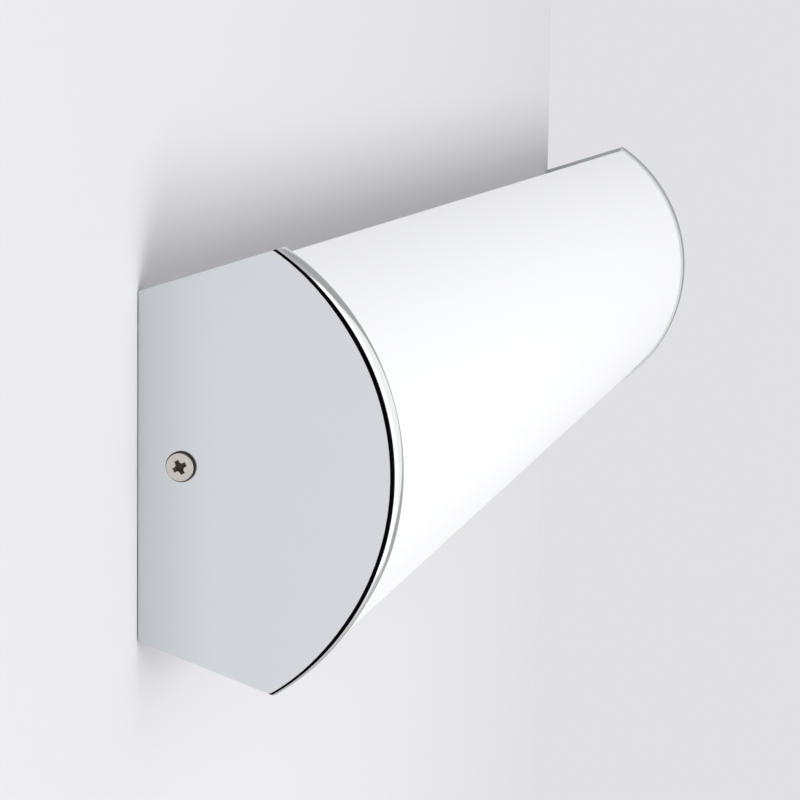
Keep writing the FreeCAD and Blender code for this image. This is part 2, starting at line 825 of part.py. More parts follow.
ballast_half = s.ballast_length / 2
ballast_ends = (ballast_middle - ballast_half, ballast_middle + ballast_half)
base_front = s.channel_sheet + s.ballast_sheet
board_back = base_front + s.board_lift
board_front = board_back + s.board_thickness
ballast_up = s.ballast_height / 2
board_up = s.board_height / 2
board_half = s.board_length / 2
base_plate = block(
    "ballast_plate", (ballast_ends[0] - s.ballast_ear, ballast_ends[1] + s.ballast_ear),
    (s.channel_sheet, base_front), (-ballast_up, ballast_up),
)
base_studs = [
    rod(f"ballast_stud_{index}", "out",
        ballast_middle + (board_half - s.stud_size) * across, base_front,
        (board_up - s.stud_size) * up, s.stud_size, s.board_lift)
    for index, (across, up) in zip("abcd", ((-1, -1), (-1, 1), (1, -1), (1, 1)))
]
ear_cuts = [
    rod(f"ear_cut_{'ab'[index]}", "out", x, 0, 0, s.cap_hole, base_front + s.overrun)
    for index, x in enumerate(ear_places)
]
base_blank = fuse("ballast_base_blank", base_plate, *base_studs)
keep("ballast_base", cut("ballast_base_piece", base_blank, *ear_cuts))
cover_front = base_front + s.ballast_reach - s.ballast_sheet
connector_up = s.connector_height / 2
cover = block("ballast_shell", ballast_ends, (base_front, cover_front), (-ballast_up, ballast_up))
cover_hollow = block(
    "ballast_hollow", (ballast_ends[0] + s.ballast_sheet, ballast_ends[1] - s.ballast_sheet),
    (0, cover_front - s.ballast_sheet), (s.ballast_sheet - ballast_up, ballast_up - s.ballast_sheet),
)
cover_mouth = block(
    "ballast_mouth", (ballast_ends[0] - s.overrun, ballast_ends[1] + s.overrun),
    (board_front, board_front + s.connector_reach), (-connector_up, connector_up),
)
keep("ballast_cover", cut("ballast_cover_piece", cover, cover_hollow, cover_mouth))
keep("ballast_board", block(
    "ballast_board_piece", (ballast_middle - board_half, ballast_middle + board_half),
    (board_back, board_front), (-board_up, board_up),
))
choke = block(
    "ballast_choke", (ballast_middle - s.choke_length / 2, ballast_middle + s.choke_length / 2),
    (board_front, board_front + s.coil_reach), (-s.coil_size / 2, s.coil_size / 2),
)
coil_place = ballast_middle + s.choke_length * 2
coil = rod("ballast_coil", "out", coil_place, board_front, 0, s.coil_size, s.coil_reach)
capacitor_place = ballast_middle - s.choke_length * 2 - s.capacitor_length / 2
capacitor_rise = s.capacitor_size * 3 / 4
capacitors = [
    rod(f"ballast_capacitor_{mark}", "along", capacitor_place, board_front + s.capacitor_size / 2,
        capacitor_rise * sign, s.capacitor_size, s.capacitor_length)
    for mark, sign in (("a", -1), ("b", 1))
]
keep("ballast_parts", group("ballast_part_set", choke, coil, *capacitors))


def connector(name, sign):
    """A push-in terminal at one end of the ballast, with two wire holes."""
    outer = ballast_middle + ballast_half * sign
    inner = outer - s.connector_depth * sign
    span = (inner, outer) if sign > 0 else (outer, inner)
    solid = block(name, span, (board_front, board_front + s.connector_reach), (-connector_up, connector_up))
    return solid, outer


connectors = []
wire_reach = board_front + s.connector_reach / 2
wire_shares = (-3 / 8, -1 / 8, 1 / 8, 3 / 8)
wire_steps = [s.connector_height * share for share in wire_shares]
for name, sign in (("ballast_input", -1), ("ballast_output", 1)):
    solid, outer = connector(f"{name}_solid", sign)
    hole_start = outer - s.lead_plug if sign > 0 else outer - s.overrun
    holes = [
        rod(f"{name}_hole_{mark}", "along", hole_start, wire_reach, height,
            s.lead_bore, s.lead_plug + s.overrun)
        for mark, height in zip("abcd", wire_steps)
    ]
    connectors.append(cut(name, solid, *holes))
keep("ballast_connectors", group("ballast_connector_pair", *connectors))
keep("ballast_screws", group("ballast_screw_pair", *[
    small_screw(f"ballast_screw_{'ab'[index]}", x, base_front, 0, base_front - screw_floor,
                s.small_shank, s.small_head, s.small_head_height)
    for index, x in enumerate(ear_places)
]))

# Lampholders, each with a rotor that the lamp's pins turn

holder_half = s.holder_size / 2
holder_shell = section("holder_shell", [
    (s.tray_reach, -holder_half),
    (s.lamp_reach, -holder_half, holder_half, -1),
    (s.lamp_reach + holder_half, 0, holder_half, -1),
    (s.lamp_reach, holder_half),
    (s.tray_reach, holder_half),
], -holder_back, s.holder_thickness)
recess_size = s.rotor_size + s.rotor_gap * 2
recess_floor = s.holder_floor - holder_back
holder_foot = block(
    "holder_foot", (-foot_back, -foot_front), (s.foot_reach, s.tray_reach), (-foot_half, foot_half),
)
holder_recess = rod("holder_recess", "along", recess_floor, s.lamp_reach, 0, recess_size, s.holder_thickness)
holder_entry = block(
    "holder_entry", (recess_floor, s.overrun - holder_face),
    (s.lamp_reach, s.lamp_reach + holder_half + s.overrun), (-s.pin_slot / 2, s.pin_slot / 2),
)
contact_foot_reach = s.foot_reach + s.contact_foot
contact_span = (recess_floor + s.contact_gap, recess_floor + s.contact_gap + s.contact_width)
contacts = []
contact_slots = []
lead_holes = []
for mark, sign in (("low", -1), ("high", 1)):
    faces = sorted(
        (s.contact_place * sign, (s.contact_place + s.contact_sheet) * sign), key=lambda face: face.number
    )
    contacts.append(block(
        f"contact_{mark}", contact_span, (contact_foot_reach, s.lamp_reach + s.contact_half_reach), faces,
    ))
    contact_slots.append(block(
        f"contact_slot_{mark}",
        (contact_span[0], contact_span[1] + s.contact_gap),
        (contact_foot_reach, s.lamp_reach + s.contact_half_reach),
        (faces[0] - s.contact_gap, faces[1] + s.contact_gap),
    ))
    lead_holes.append(rod(
        f"holder_lead_hole_{mark}", "out", contact_span[0] + s.contact_width / 2,
        s.foot_reach - s.overrun, (s.contact_place + s.contact_sheet / 2) * sign,
        s.lead_bore, s.contact_foot + s.overrun,
    ))
lampholder = cut(
    "lampholder", fuse("holder_blank", holder_shell, holder_foot),
    holder_recess, holder_entry, *contact_slots, *lead_holes,
)
keep("lampholder_left", lampholder)
keep("lampholder_right", mirrored("lampholder_other", lampholder))
left_contacts = group("contact_pair", *contacts)
right_contacts = mirrored("contact_pair_other", left_contacts)
keep("lampholder_contacts", group("contact_set", left_contacts, right_contacts))
rotor_face = -holder_face - s.rotor_setback
rotor_back = rotor_face - s.rotor_thickness
rotor = cut(
    "rotor",
    rod("rotor_disc", "along", rotor_back, s.lamp_reach, 0, s.rotor_size, s.rotor_thickness),
    block("rotor_slot", (rotor_back - s.overrun, rotor_face + s.overrun),
          (s.lamp_reach - s.pin_slot / 2, s.lamp_reach + s.pin_slot / 2), (-s.rotor_size, s.rotor_size)),
)
rotor_bridge = block(
    "rotor_bridge", (rotor_back, rotor_face),
    (s.lamp_reach - s.pin_slot, s.lamp_reach + s.pin_slot),
    (-(s.pin_spacing - s.pin_size) / 2 + s.rotor_gap, (s.pin_spacing - s.pin_size) / 2 - s.rotor_gap),
)
rotor_left = fuse("rotor_piece", rotor, rotor_bridge)
keep("rotor_left", rotor_left)
keep("rotor_right", mirrored("rotor_other", rotor_left))

# Tube lamp: glass, two metal ends and four pins

glass_size = s.lamp_size - s.lamp_cap_wall * 2
glass_end = lamp_face - s.lamp_cap_floor
keep("lamp_tube", cut(
    "lamp_tube_piece",
    rod("glass", "along", -glass_end, s.lamp_reach, 0, glass_size, glass_end * 2),
    rod("glass_inside", "along", s.glass_wall - glass_end, s.lamp_reach, 0,
        glass_size - s.glass_wall * 2, (glass_end - s.glass_wall) * 2),
))
lamp_cap = cut(
    "lamp_cap",
    rod("lamp_cap_cup", "along", -lamp_face, s.lamp_reach, 0, s.lamp_size, s.lamp_cap_length),
    rod("lamp_cap_bore", "along", -glass_end, s.lamp_reach, 0, glass_size, s.lamp_cap_length),
)
keep("lamp_caps", group("lamp_cap_pair", lamp_cap, mirrored("lamp_cap_other", lamp_cap)))
pins = [
    rod(f"pin_{mark}", "along", -lamp_face - s.pin_length, s.lamp_reach, s.pin_spacing / 2 * sign,
        s.pin_size, s.pin_length)
    for mark, sign in (("low", -1), ("high", 1))
]
pin_pair = group("pin_pair", *pins)
keep("lamp_pins", group("pin_set", pin_pair, mirrored("pin_pair_other", pin_pair)))

# Diffuser: an opal arc with a web and a hook inside each edge

web_outer = lip_end - s.slide_gap
web_inner = web_outer - s.web_wall
hook_front = lip_back - s.slide_gap
hook_back = hook_front - s.hook_wall
hook_top = web_outer + s.hook_reach


def inside_reach(height):
    """How far from the wall the diffuser's inner face is at a height."""
    return root(diffuser_inside * diffuser_inside - height * height)


diffuser = section("diffuser_skin", [
    (diffuser_corner[0], -diffuser_corner[1], diffuser_radius, -1),
    (diffuser_corner[0], diffuser_corner[1]),
    (diffuser_heel[0], diffuser_heel[1], diffuser_inside, 1),
    (inside_reach(web_outer), web_outer),
    (hook_front, web_outer),
    (hook_front, hook_top),
    (hook_back, hook_top),
    (hook_back, web_inner),
    (inside_reach(web_inner), web_inner, diffuser_inside, 1),
    (inside_reach(web_inner), -web_inner),
    (hook_back, -web_inner),
    (hook_back, -hook_top),
    (hook_front, -hook_top),
    (hook_front, -web_outer),
    (inside_reach(web_outer), -web_outer, diffuser_inside, 1),
    (diffuser_heel[0], -diffuser_heel[1]),
], -channel_end, channel_end * 2)
keep("diffuser", diffuser)

# End caps: a flat plate whose curved front edge is turned in over the diffuser's end

cap = section("cap_plate", [
    (0, -s.wall_height / 2),
    (s.corner_reach, -half_height, front_radius, -1),
    (s.corner_reach, half_height),
    (0, s.wall_height / 2),
], -half_length, s.cap_depth)
round_edges(
    cap, "cap_bend_outside", s.cap_bend,
    lambda edge: isinstance(edge.Curve, Part.Circle) and near(edge.CenterOfMass.x, -half_length.number),
)
cap_sketch = attach(cap, "cap_hollow_outline", "YZ_Plane", s.cap_sheet - half_length)
circle(cap_sketch, 0, 0, (front_radius - s.cap_sheet) * 2)
cap_hollow = cap.newObject("PartDesign::Pocket", "cap_hollow")
cap_hollow.Profile = cap_sketch
cap_hollow.Reversed = True
tie(cap_hollow, "Length", s.cap_depth)
doc.recompute()
round_edges(
    cap, "cap_bend_inside", s.cap_bend - s.cap_sheet,
    lambda edge: isinstance(edge.Curve, Part.Circle)
    and near(edge.CenterOfMass.x, (s.cap_sheet - half_length).number)
    and near(edge.Curve.Radius, (front_radius - s.cap_sheet).number),
)
hole_sketch = attach(cap, "cap_hole_outline", "YZ_Plane", s.cap_sheet - half_length)
circle(hole_sketch, -s.cap_screw_reach, s.cap_screw_rise, s.cap_hole)
cap_hole = cap.newObject("PartDesign::Pocket", "cap_hole_cut")
cap_hole.Profile = hole_sketch
tie(cap_hole, "Length", s.cap_sheet + s.overrun)
doc.recompute()
keep("end_cap_left", cap)
keep("end_cap_right", mirrored("cap_other", cap))

# Foam gasket glued inside each cap, open at the wall where the channel's tab passes

gasket_radius = front_radius - s.cap_bend - s.gasket_gap
gasket_inner = channel_outer - s.gasket_width * slant
gasket_corner = side_meets_arc(channel_outer, gasket_radius)
gasket_heel = side_meets_arc(gasket_inner, gasket_radius - s.gasket_width)
gasket_stop = tab_half + s.channel_step
gasket = section("gasket", [
    (0, -channel_outer),
    (gasket_corner[0], -gasket_corner[1], gasket_radius, -1),
    (gasket_corner[0], gasket_corner[1]),
    (0, channel_outer),
    (0, gasket_stop),
    (s.gasket_width, gasket_stop),
    (s.gasket_width, side_height(gasket_inner, s.gasket_width)),
    (gasket_heel[0], gasket_heel[1], gasket_radius - s.gasket_width, 1),
    (gasket_heel[0], -gasket_heel[1]),
    (s.gasket_width, -side_height(gasket_inner, s.gasket_width)),
    (s.gasket_width, -gasket_stop),
    (0, -gasket_stop),
], s.cap_sheet - half_length, s.gasket_thickness)
keep("cap_gasket_left", gasket)
keep("cap_gasket_right", mirrored("gasket_other", gasket))

# Cap screws, each on a split lock washer

head_back = -half_length - s.washer_thickness
head_front = head_back - s.cap_screw_head_height


def bar_at_screw(name, start, sizes, corner, angle):
    """A bar that lies along the left screw, turned about its axis.

    sizes run along, out and up before the turn, and corner is the bar's inner low corner there.
    """
    bar = doc.addObject("Part::Box", name)
    for side, size in zip(("Length", "Width", "Height"), sizes):
        tie(bar, side, size)
    rotation = FreeCAD.Rotation(FreeCAD.Vector(1, 0, 0), angle)
    offset = rotation.multVec(FreeCAD.Vector(0, *corner))
    bar.Placement = FreeCAD.Placement(
        FreeCAD.Vector(
            start.number, offset.y - s.cap_screw_reach.number, offset.z + s.cap_screw_rise.number,
        ),
        rotation,
    )
    return bar


washer_start = head_back - s.overrun
washer_run = s.washer_thickness + s.overrun * 2
washer_split = bar_at_screw(
    "washer_split", washer_start, (washer_run, s.washer_size, s.washer_gap),
    (0, -s.washer_gap.number / 2), s.washer_gap_turn.number,
)
washer = cut(
    "washer",
    rod(
        "washer_disc", "along", head_back, s.cap_screw_reach, s.cap_screw_rise,
        s.washer_size, s.washer_thickness,
    ),
    rod(
        "washer_bore", "along", washer_start, s.cap_screw_reach, s.cap_screw_rise,
        s.washer_hole, washer_run,
    ),
    washer_split,
)
keep("screw_washer_left", washer)
keep("screw_washer_right", mirrored("washer_other", washer))
head_edge = s.cap_screw_head / 2
stem_end = head_back + s.cap_screw_length
cap_screw = turned("cap_screw", s.cap_screw_reach, s.cap_screw_rise, [
    (head_front, 0),
    (stem_end, 0),
    (stem_end, s.cap_screw_shank / 2 - s.cap_screw_tip),
    (stem_end - s.cap_screw_tip, s.cap_screw_shank / 2),
    (head_back, s.cap_screw_shank / 2),
    (head_back, head_edge),
    (head_front + s.cap_screw_head_round, head_edge, s.cap_screw_head_round, 1),
    (head_front, head_edge - s.cap_screw_head_round),
])


def recess_arm(name, turn):
    """One bar of the cross recess in the screw's head."""
    return bar_at_screw(
        name, head_front - s.overrun, (s.recess_depth + s.overrun, s.recess_width, s.recess_arm),
        (-s.recess_width.number / 2, -s.recess_arm.number / 2), turn - s.recess_turn.number,
    )


recess_across = recess_arm("recess_across", 0)
recess_upright = recess_arm("recess_upright", 90)
screw_left = cut("cap_screw_piece", cap_screw, recess_across, recess_upright)
keep("cap_screw_left", screw_left)
keep("cap_screw_right", mirrored("cap_screw_other", screw_left))


# Leads inside the tray, each along its own route of straight runs and arcs

def rounded_path(points):
    """Straight runs joined by tangent arcs, each as large as its two runs allow."""
    edges = []
    start = points[0]
    for before, corner, after in zip(points, points[1:], points[2:]):
        back, ahead = before - corner, after - corner
        half_turn = (math.pi - back.getAngle(ahead)) / 2
        trim = RUN_SHARE * min(back.Length, ahead.Length)
        radius = trim / math.tan(half_turn)
        radii.append(radius)
        enter = corner + back.normalize() * trim
        leave = corner + ahead.normalize() * trim
        toward = ((enter + leave) * 0.5 - corner).normalize()
        middle = corner + toward * (math.hypot(radius, trim) - radius)
        edges.append(Part.LineSegment(start, enter).toShape())
        edges.append(Part.Arc(enter, middle, leave).toShape())
        start = leave
    edges.append(Part.LineSegment(start, points[-1]).toShape())
    return Part.Wire(edges)


def lead(name, route):
    """An insulated lead along a route of places along the light, out from the wall, and up."""
    points = [
        FreeCAD.Vector(number_of(x), -number_of(reach), number_of(height)) for x, reach, height in route
    ]
    path = rounded_path(points)
    ring = Part.Wire([Part.Circle(points[0], points[1] - points[0], s.lead_size.number / 2).toShape()])
    thing = doc.addObject("Part::Feature", name)
    thing.Shape = path.makePipeShell([ring], True, False)
    area = math.pi * (s.lead_size.number / 2) ** 2
    print(f"{name}: length {path.Length:.1f}, volume share {thing.Shape.Volume / (area * path.Length):.4f}")
    return thing


RUN_SHARE = 0.45
radii = []
pole_reach = s.channel_sheet + s.sleeve_reach
pole_end = s.sleeve_length / 2 - s.terminal_place - s.lead_plug
input_end = ballast_ends[0] + s.lead_plug
output_end = ballast_ends[1] - s.lead_plug
terminal_gap = ballast_ends[0] - terminal_front
for name, pole_height, wire_height in (
    ("live_lead", pole_heights[0], wire_steps[1]),
    ("neutral_lead", pole_heights[1], wire_steps[2]),
):
    route = [
        (pole_end, pole_reach, pole_height),
        (terminal_front + terminal_gap / 4, pole_reach, pole_height),
        (terminal_front + terminal_gap * 3 / 4, wire_reach, wire_height),
        (input_end, wire_reach, wire_height),
    ]
    keep(name, lead(name, route))
tail_end = earth_x - tail_side - s.earth_tail
tail_reach = ring_back + s.earth_ring_sheet + s.lead_size / 2
earth_gap = tail_end - terminal_front
keep("earth_lead", lead("earth_lead", [
    (pole_end, pole_reach, pole_heights[2]),
    (terminal_front + earth_gap / 3, pole_reach, pole_heights[2]),
    (terminal_front + earth_gap * 2 / 3, tail_reach, s.earth_height),
    (tail_end + s.earth_tail / 2, tail_reach, s.earth_height),
]))
contact_x = contact_span[0] + s.contact_width / 2
contact_z = s.contact_place + s.contact_sheet / 2
lane = s.lead_size * 2
low_reach = s.channel_sheet + lane
bend_out = ballast_ends[1] + lane * 3
right_leads = []
left_leads = []
for index, sign in enumerate((-1, 1)):
    lead_mark = "ab"[index]
    lane_height = lane * (2 + index)
    right_leads.append(lead(f"right_lamp_lead_{lead_mark}", [
        (output_end, wire_reach, wire_steps[2 + index]),
        (ballast_ends[1] + lane * 2, wire_reach, wire_steps[2 + index]),
        (ballast_ends[1] + lane * 6, low_reach, lane_height),
        (post_place + lane * 3, low_reach, lane_height),
        (-contact_x, low_reach, contact_z * sign),
        (-contact_x, contact_foot_reach, contact_z * sign),
    ]))
    edge_height = -ballast_up - lane * (3 - index)
    left_leads.append(lead(f"left_lamp_lead_{lead_mark}", [
        (output_end, wire_reach, wire_steps[index]),
        (bend_out, wire_reach, wire_steps[index]),
        (bend_out, low_reach, edge_height),
        (-post_place - lane * 3, low_reach, edge_height),
        (contact_x, low_reach, contact_z * sign),
        (contact_x, contact_foot_reach, contact_z * sign),
    ]))
keep("lamp_leads_right", group("lamp_lead_right_pair", *right_leads))
keep("lamp_leads_left", group("lamp_lead_left_pair", *left_leads))
print("lead radii", [round(radius, 1) for radius in radii])

# Test everything, then write one file for each piece

doc.recompute()
for thing in doc.Objects:
    if "Invalid" in thing.State or "Error" in thing.State:
        raise RuntimeError(f"{thing.Name} failed: {thing.State}")
for node in nodes:
    if node.Shape.isNull() or not node.Shape.isValid():
        raise RuntimeError(f"{node.Label} has no valid shape")

os.makedirs("parts", exist_ok=True)
for node in nodes:
    node.Shape.exportStep(os.path.join("parts", f"{node.Label}.step"))
    print(node.Label, len(node.Shape.Solids), f"{node.Shape.Volume:.1f}")
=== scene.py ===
"""Looks of a bathroom wall light, dressed around its packed construction model.

Lengths are in metres in the model's own frame: X runs along the light, +Z is up, the wall is
at Y = 0 and the front faces -Y. A distance from the wall is called a reach.
"""

import logging
import math
from dataclasses import dataclass, field
from enum import Enum
from typing import Callable

import bmesh
import bpy
from mathutils import Matrix, Quaternion, Vector


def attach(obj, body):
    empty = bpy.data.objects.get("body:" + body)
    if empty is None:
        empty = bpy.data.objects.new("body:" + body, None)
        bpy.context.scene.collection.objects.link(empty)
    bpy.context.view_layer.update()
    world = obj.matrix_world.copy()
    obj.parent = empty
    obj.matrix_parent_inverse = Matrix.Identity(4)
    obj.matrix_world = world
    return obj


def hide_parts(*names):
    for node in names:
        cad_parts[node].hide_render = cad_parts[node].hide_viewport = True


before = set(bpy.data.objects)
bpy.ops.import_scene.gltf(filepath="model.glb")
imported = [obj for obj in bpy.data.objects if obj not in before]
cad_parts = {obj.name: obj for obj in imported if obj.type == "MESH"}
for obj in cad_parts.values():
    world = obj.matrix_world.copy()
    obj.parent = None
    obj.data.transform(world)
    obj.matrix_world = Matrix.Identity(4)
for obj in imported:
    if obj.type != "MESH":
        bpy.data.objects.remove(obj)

LOG = logging.getLogger("wall_light")
MM = 0.001
FULL_TURN = math.tau
QUARTER_TURN = math.pi / 2
FACING_X = (0.0, QUARTER_TURN, 0.0)
FACING_Y = (QUARTER_TURN, 0.0, 0.0)
FACING_Z = (0.0, 0.0, 0.0)
WHITE = (1.0, 1.0, 1.0, 1.0)
SIDE_CORNERS = 4
HOLE_SIDES = 48
HEAD_SIDES = 96
MERGE_WIDTH = 1e-7
# Angles between faces, in degrees. Sharper edges than the first are broken. Faces that meet at less than
# one of the others are shaded as one.
SHARP_ANGLE = 50.0
SHEET_SMOOTH = 25.0
TURNED_SMOOTH = 30.0
BREAK_SEGMENTS = 2
FACE_WEIGHT = 100


class Side(Enum):
    """An end of the light, with the sign of its place along X."""

    LEFT = -1
    RIGHT = 1

    @property
    def word(self) -> str:
        """The end's name as it stands in node and body names."""
        return self.name.lower()


class Pick(Enum):
    """What a selection in edit mode is made of."""

    CORNERS = "VERT"
    EDGES = "EDGE"
    FACES = "FACE"


@dataclass(frozen=True)
class Profile:
    """The light's cross-section and main lengths, as the construction model has them."""

    length: float = 600.0 * MM
    height: float = 110.0 * MM
    wall_height: float = 87.0 * MM
    corner_reach: float = 35.0 * MM
    cap_sheet: float = 0.8 * MM
    channel_sheet: float = 1.0 * MM
    channel_step: float = 1.6 * MM
    gasket: float = 2.0 * MM
    diffuser_gap: float = 0.3 * MM
    diffuser_wall: float = 2.0 * MM
    lip_gap: float = 0.45 * MM
    lip_reach: float = 3.4 * MM
    slide_gap: float = 0.3 * MM
    screw_reach: float = 11.0 * MM
    screw_rise: float = 0.9 * MM

    def on_screw(self, along: float) -> Vector:
        """Gives the point of the cap screws' axis at a place along the light."""
        return Vector((along, -self.screw_reach, self.screw_rise))

    @property
    def flare(self) -> float:
        """How fast the sides open out, in height for each unit of reach."""
        return (self.height - self.wall_height) / self.corner_reach / 2

    @property
    def slant(self) -> float:
        """Length along a flared side for each unit of reach."""
        return math.hypot(1.0, self.flare)

    @property
    def front_radius(self) -> float:
        """Radius of the caps' curved front, about the middle of the wall side."""
        return math.hypot(self.height / 2, self.corner_reach)

    @property
    def channel_outer(self) -> float:
        """Half height of the channel's outer side at the wall."""
        return self.wall_height / 2 - self.channel_step

    @property
    def channel_inner(self) -> float:
        """Half height of the channel's inner side at the wall."""
        return self.channel_outer - self.channel_sheet * self.slant

    @property
    def diffuser_outer(self) -> float:
        """Outer radius of the diffuser."""
        return self.front_radius - self.cap_sheet - self.diffuser_gap

    @property
    def diffuser_inner(self) -> float:
        """Inner radius of the diffuser."""
        return self.diffuser_outer - self.diffuser_wall

    @property
    def channel_end(self) -> float:
        """How far the channel and the diffuser run from the middle of the light."""
        return self.length / 2 - self.cap_sheet - self.gasket

    def reach_on_arc(self, base: float, radius: float) -> float:
        """Gives the reach where a flared line meets an arc about the wall side's middle.

        Args:
            base: Height of the flared line at the wall.
            radius: Radius of the arc.

        Returns:
            The reach of the meeting point.
        """
        span = (radius * self.slant) ** 2 - base ** 2
        return (math.sqrt(span) - base * self.flare) / self.slant ** 2

    @property
    def lip_front(self) -> float:
        """Reach of the channel lips' front face."""
        return self.reach_on_arc(self.channel_outer, self.diffuser_inner) - self.lip_gap

    @property
    def lip_end(self) -> float:
        """Height of the channel lips' free edges."""
        return self.channel_inner + self.flare * self.lip_front - self.lip_reach


def clear_selection() -> None:
    """Leaves no object selected."""
    bpy.ops.object.select_all(action="DESELECT")


def is_round_end(face: bmesh.types.BMFace) -> bool:
    """Says whether a face is the end of a round blank, and not one of its sides."""
    return len(face.verts) > SIDE_CORNERS


class Piece:
    """One mesh that is modelled with operators, from a primitive to its finished form."""

    def __init__(self, name: str) -> None:
        """Takes over the primitive that was just added, and settles its place in its mesh."""
        self.thing = bpy.context.active_object
        self.thing.name = name
        self.thing.data.name = name
        bpy.ops.object.transform_apply(location=True, rotation=True, scale=True)

    @classmethod
    def rod(
        cls, name: str, start: Vector, length: float, radius: float, sides: int, tip: float | None = None,
    ) -> "Piece":
        """Adds a cylinder or a cone that lies along +X.

        Args:
            name: The piece's name.
            start: The middle of its first end.
            length: How long it is.
            radius: Radius at its first end.
            sides: How many sides approach the round.
            tip: Radius at its far end, where it differs.

        Returns:
            The new piece.
        """
        clear_selection()
        bpy.ops.mesh.primitive_cone_add(
            vertices=sides, radius1=radius, radius2=radius if tip is None else tip, depth=length,
            location=start + Vector((length / 2, 0, 0)), rotation=FACING_X,
        )
        return cls(name)

    @classmethod
    def block(cls, name: str, low: Vector, high: Vector) -> "Piece":
        """Adds a box between two corners.

        Args:
            name: The piece's name.
            low: The lowest corner.
            high: The highest corner.

        Returns:
            The new piece.
        """
        clear_selection()
        bpy.ops.mesh.primitive_cube_add(size=1.0, location=(low + high) / 2, scale=high - low)
        return cls(name)

    def wake(self) -> None:
        """Makes this piece the only selected and active one."""
        clear_selection()
        self.thing.select_set(True)
        bpy.context.view_layer.objects.active = self.thing

    def pick(self, kind: Pick, test: Callable[[object], bool]) -> None:
        """Opens edit mode and selects what passes a test of its place or normal.

        Args:
            kind: What is selected.
            test: Says whether an element of the edit mesh is taken.
        """
        if self.thing.mode != "EDIT":
            self.wake()
            bpy.ops.object.mode_set(mode="EDIT")
        bpy.ops.mesh.select_mode(type=kind.value)
        bpy.ops.mesh.select_all(action="DESELECT")
        shape = bmesh.from_edit_mesh(self.thing.data)
        elements = {Pick.CORNERS: shape.verts, Pick.EDGES: shape.edges, Pick.FACES: shape.faces}[kind]
        for element in elements:
            if test(element):
                element.select_set(True)
        shape.select_flush_mode()
        bmesh.update_edit_mesh(self.thing.data)

    def close(self) -> None:
        """Goes back to object mode."""
        if self.thing.mode == "EDIT":
            bpy.ops.object.mode_set(mode="OBJECT")

    def slice(self, point: Vector, normal: Vector, fill: bool = True, clear: bool = True) -> None:
        """Cuts the whole piece along a plane.

        Args:
            point: A point on the plane.
            normal: The plane's normal, pointing at the side that goes.
            fill: Whether the cut is closed with faces.
            clear: Whether that side goes, or the cut only adds edges.
        """
        self.pick(Pick.FACES, lambda face: True)
        bpy.ops.mesh.bisect(
            plane_co=point, plane_no=normal, use_fill=fill and clear, clear_outer=clear,
            threshold=MERGE_WIDTH,
        )
        self.close()

    def weigh(self, share: Callable[[object], float]) -> None:
        """Gives every edge its share of a weighted bevel."""
        self.pick(Pick.EDGES, lambda edge: False)
        shape = bmesh.from_edit_mesh(self.thing.data)
        layer = shape.edges.layers.float.new("bevel_weight_edge")
        for edge in shape.edges:
            edge[layer] = share(edge)
        bmesh.update_edit_mesh(self.thing.data)
        self.close()

    def bevel(self, width: float, segments: int, test: Callable[[object], bool]) -> None:
        """Rounds the edges that pass a test."""
        self.pick(Pick.EDGES, test)
        bpy.ops.mesh.bevel(offset=width, segments=segments, profile=0.5, affect="EDGES")
        self.close()

    def drop(self, kind: Pick, test: Callable[[object], bool]) -> None:
        """Deletes what passes a test."""
        self.pick(kind, test)
        bpy.ops.mesh.delete(type=kind.value)
        self.close()

    def inset(self, width: float, test: Callable[[object], bool]) -> None:
        """Insets the faces that pass a test."""
        self.pick(Pick.FACES, test)
        bpy.ops.mesh.inset(thickness=width)
        self.close()

    def pull(self, move: Vector, test: Callable[[object], bool]) -> None:
        """Extrudes the faces that pass a test."""
        self.pick(Pick.FACES, test)
        bpy.ops.mesh.extrude_region_move(TRANSFORM_OT_translate={"value": move})
        self.close()

    def scale_about(self, middle: Vector, scale: Vector, test: Callable[[object], bool]) -> None:
        """Scales the corners that pass a test about a point."""
        self.pick(Pick.CORNERS, test)
        bpy.ops.transform.resize(value=scale, center_override=middle)
        self.close()

    def turn(self, middle: Vector, angle: float) -> None:
        """Turns the piece about a line along X through a point, by the right-hand rule."""
        about = Matrix.Translation(middle) @ Matrix.Rotation(angle, 4, "X") @ Matrix.Translation(-middle)
        self.thing.matrix_world = about @ self.thing.matrix_world
        self.wake()
        bpy.ops.object.transform_apply(location=True, rotation=True, scale=True)

    def apply(self, kind: str, **settings: object) -> None:
        """Adds a modifier with its settings and applies it."""
        self.close()
        self.wake()
        modifier = self.thing.modifiers.new(kind, kind)
        for name, value in settings.items():
            setattr(modifier, name, value)
        bpy.ops.object.modifier_apply(modifier=modifier.name)

    def combine(self, operation: str, *others: "Piece") -> None:
        """Cuts other pieces away from this one, or joins them to it, and deletes them."""
        for other in others:
            self.apply("BOOLEAN", operation=operation, object=other.thing, solver="EXACT")
            bpy.data.objects.remove(other.thing)

    def face_outwards(self) -> None:
        """Merges doubles and points all faces outwards."""
        self.pick(Pick.FACES, lambda face: True)
        bpy.ops.mesh.remove_doubles(threshold=MERGE_WIDTH)
        bpy.ops.mesh.normals_make_consistent(inside=False)
        self.close()

    def soften(self, width: float, smooth: float) -> None:
        """Breaks the sharp edges with a small bevel and smooths the round faces.

        Args:
            width: Width of the broken edges.
            smooth: Up to what angle, in degrees, faces are shaded as one.
        """
        self.apply(
            "BEVEL", width=width, segments=BREAK_SEGMENTS, limit_method="ANGLE",
            angle_limit=math.radians(SHARP_ANGLE), use_clamp_overlap=True, harden_normals=False,
        )
        self.wake()
        bpy.ops.object.shade_smooth_by_angle(angle=math.radians(smooth))
        self.apply("WEIGHTED_NORMAL", weight=FACE_WEIGHT, keep_sharp=True)

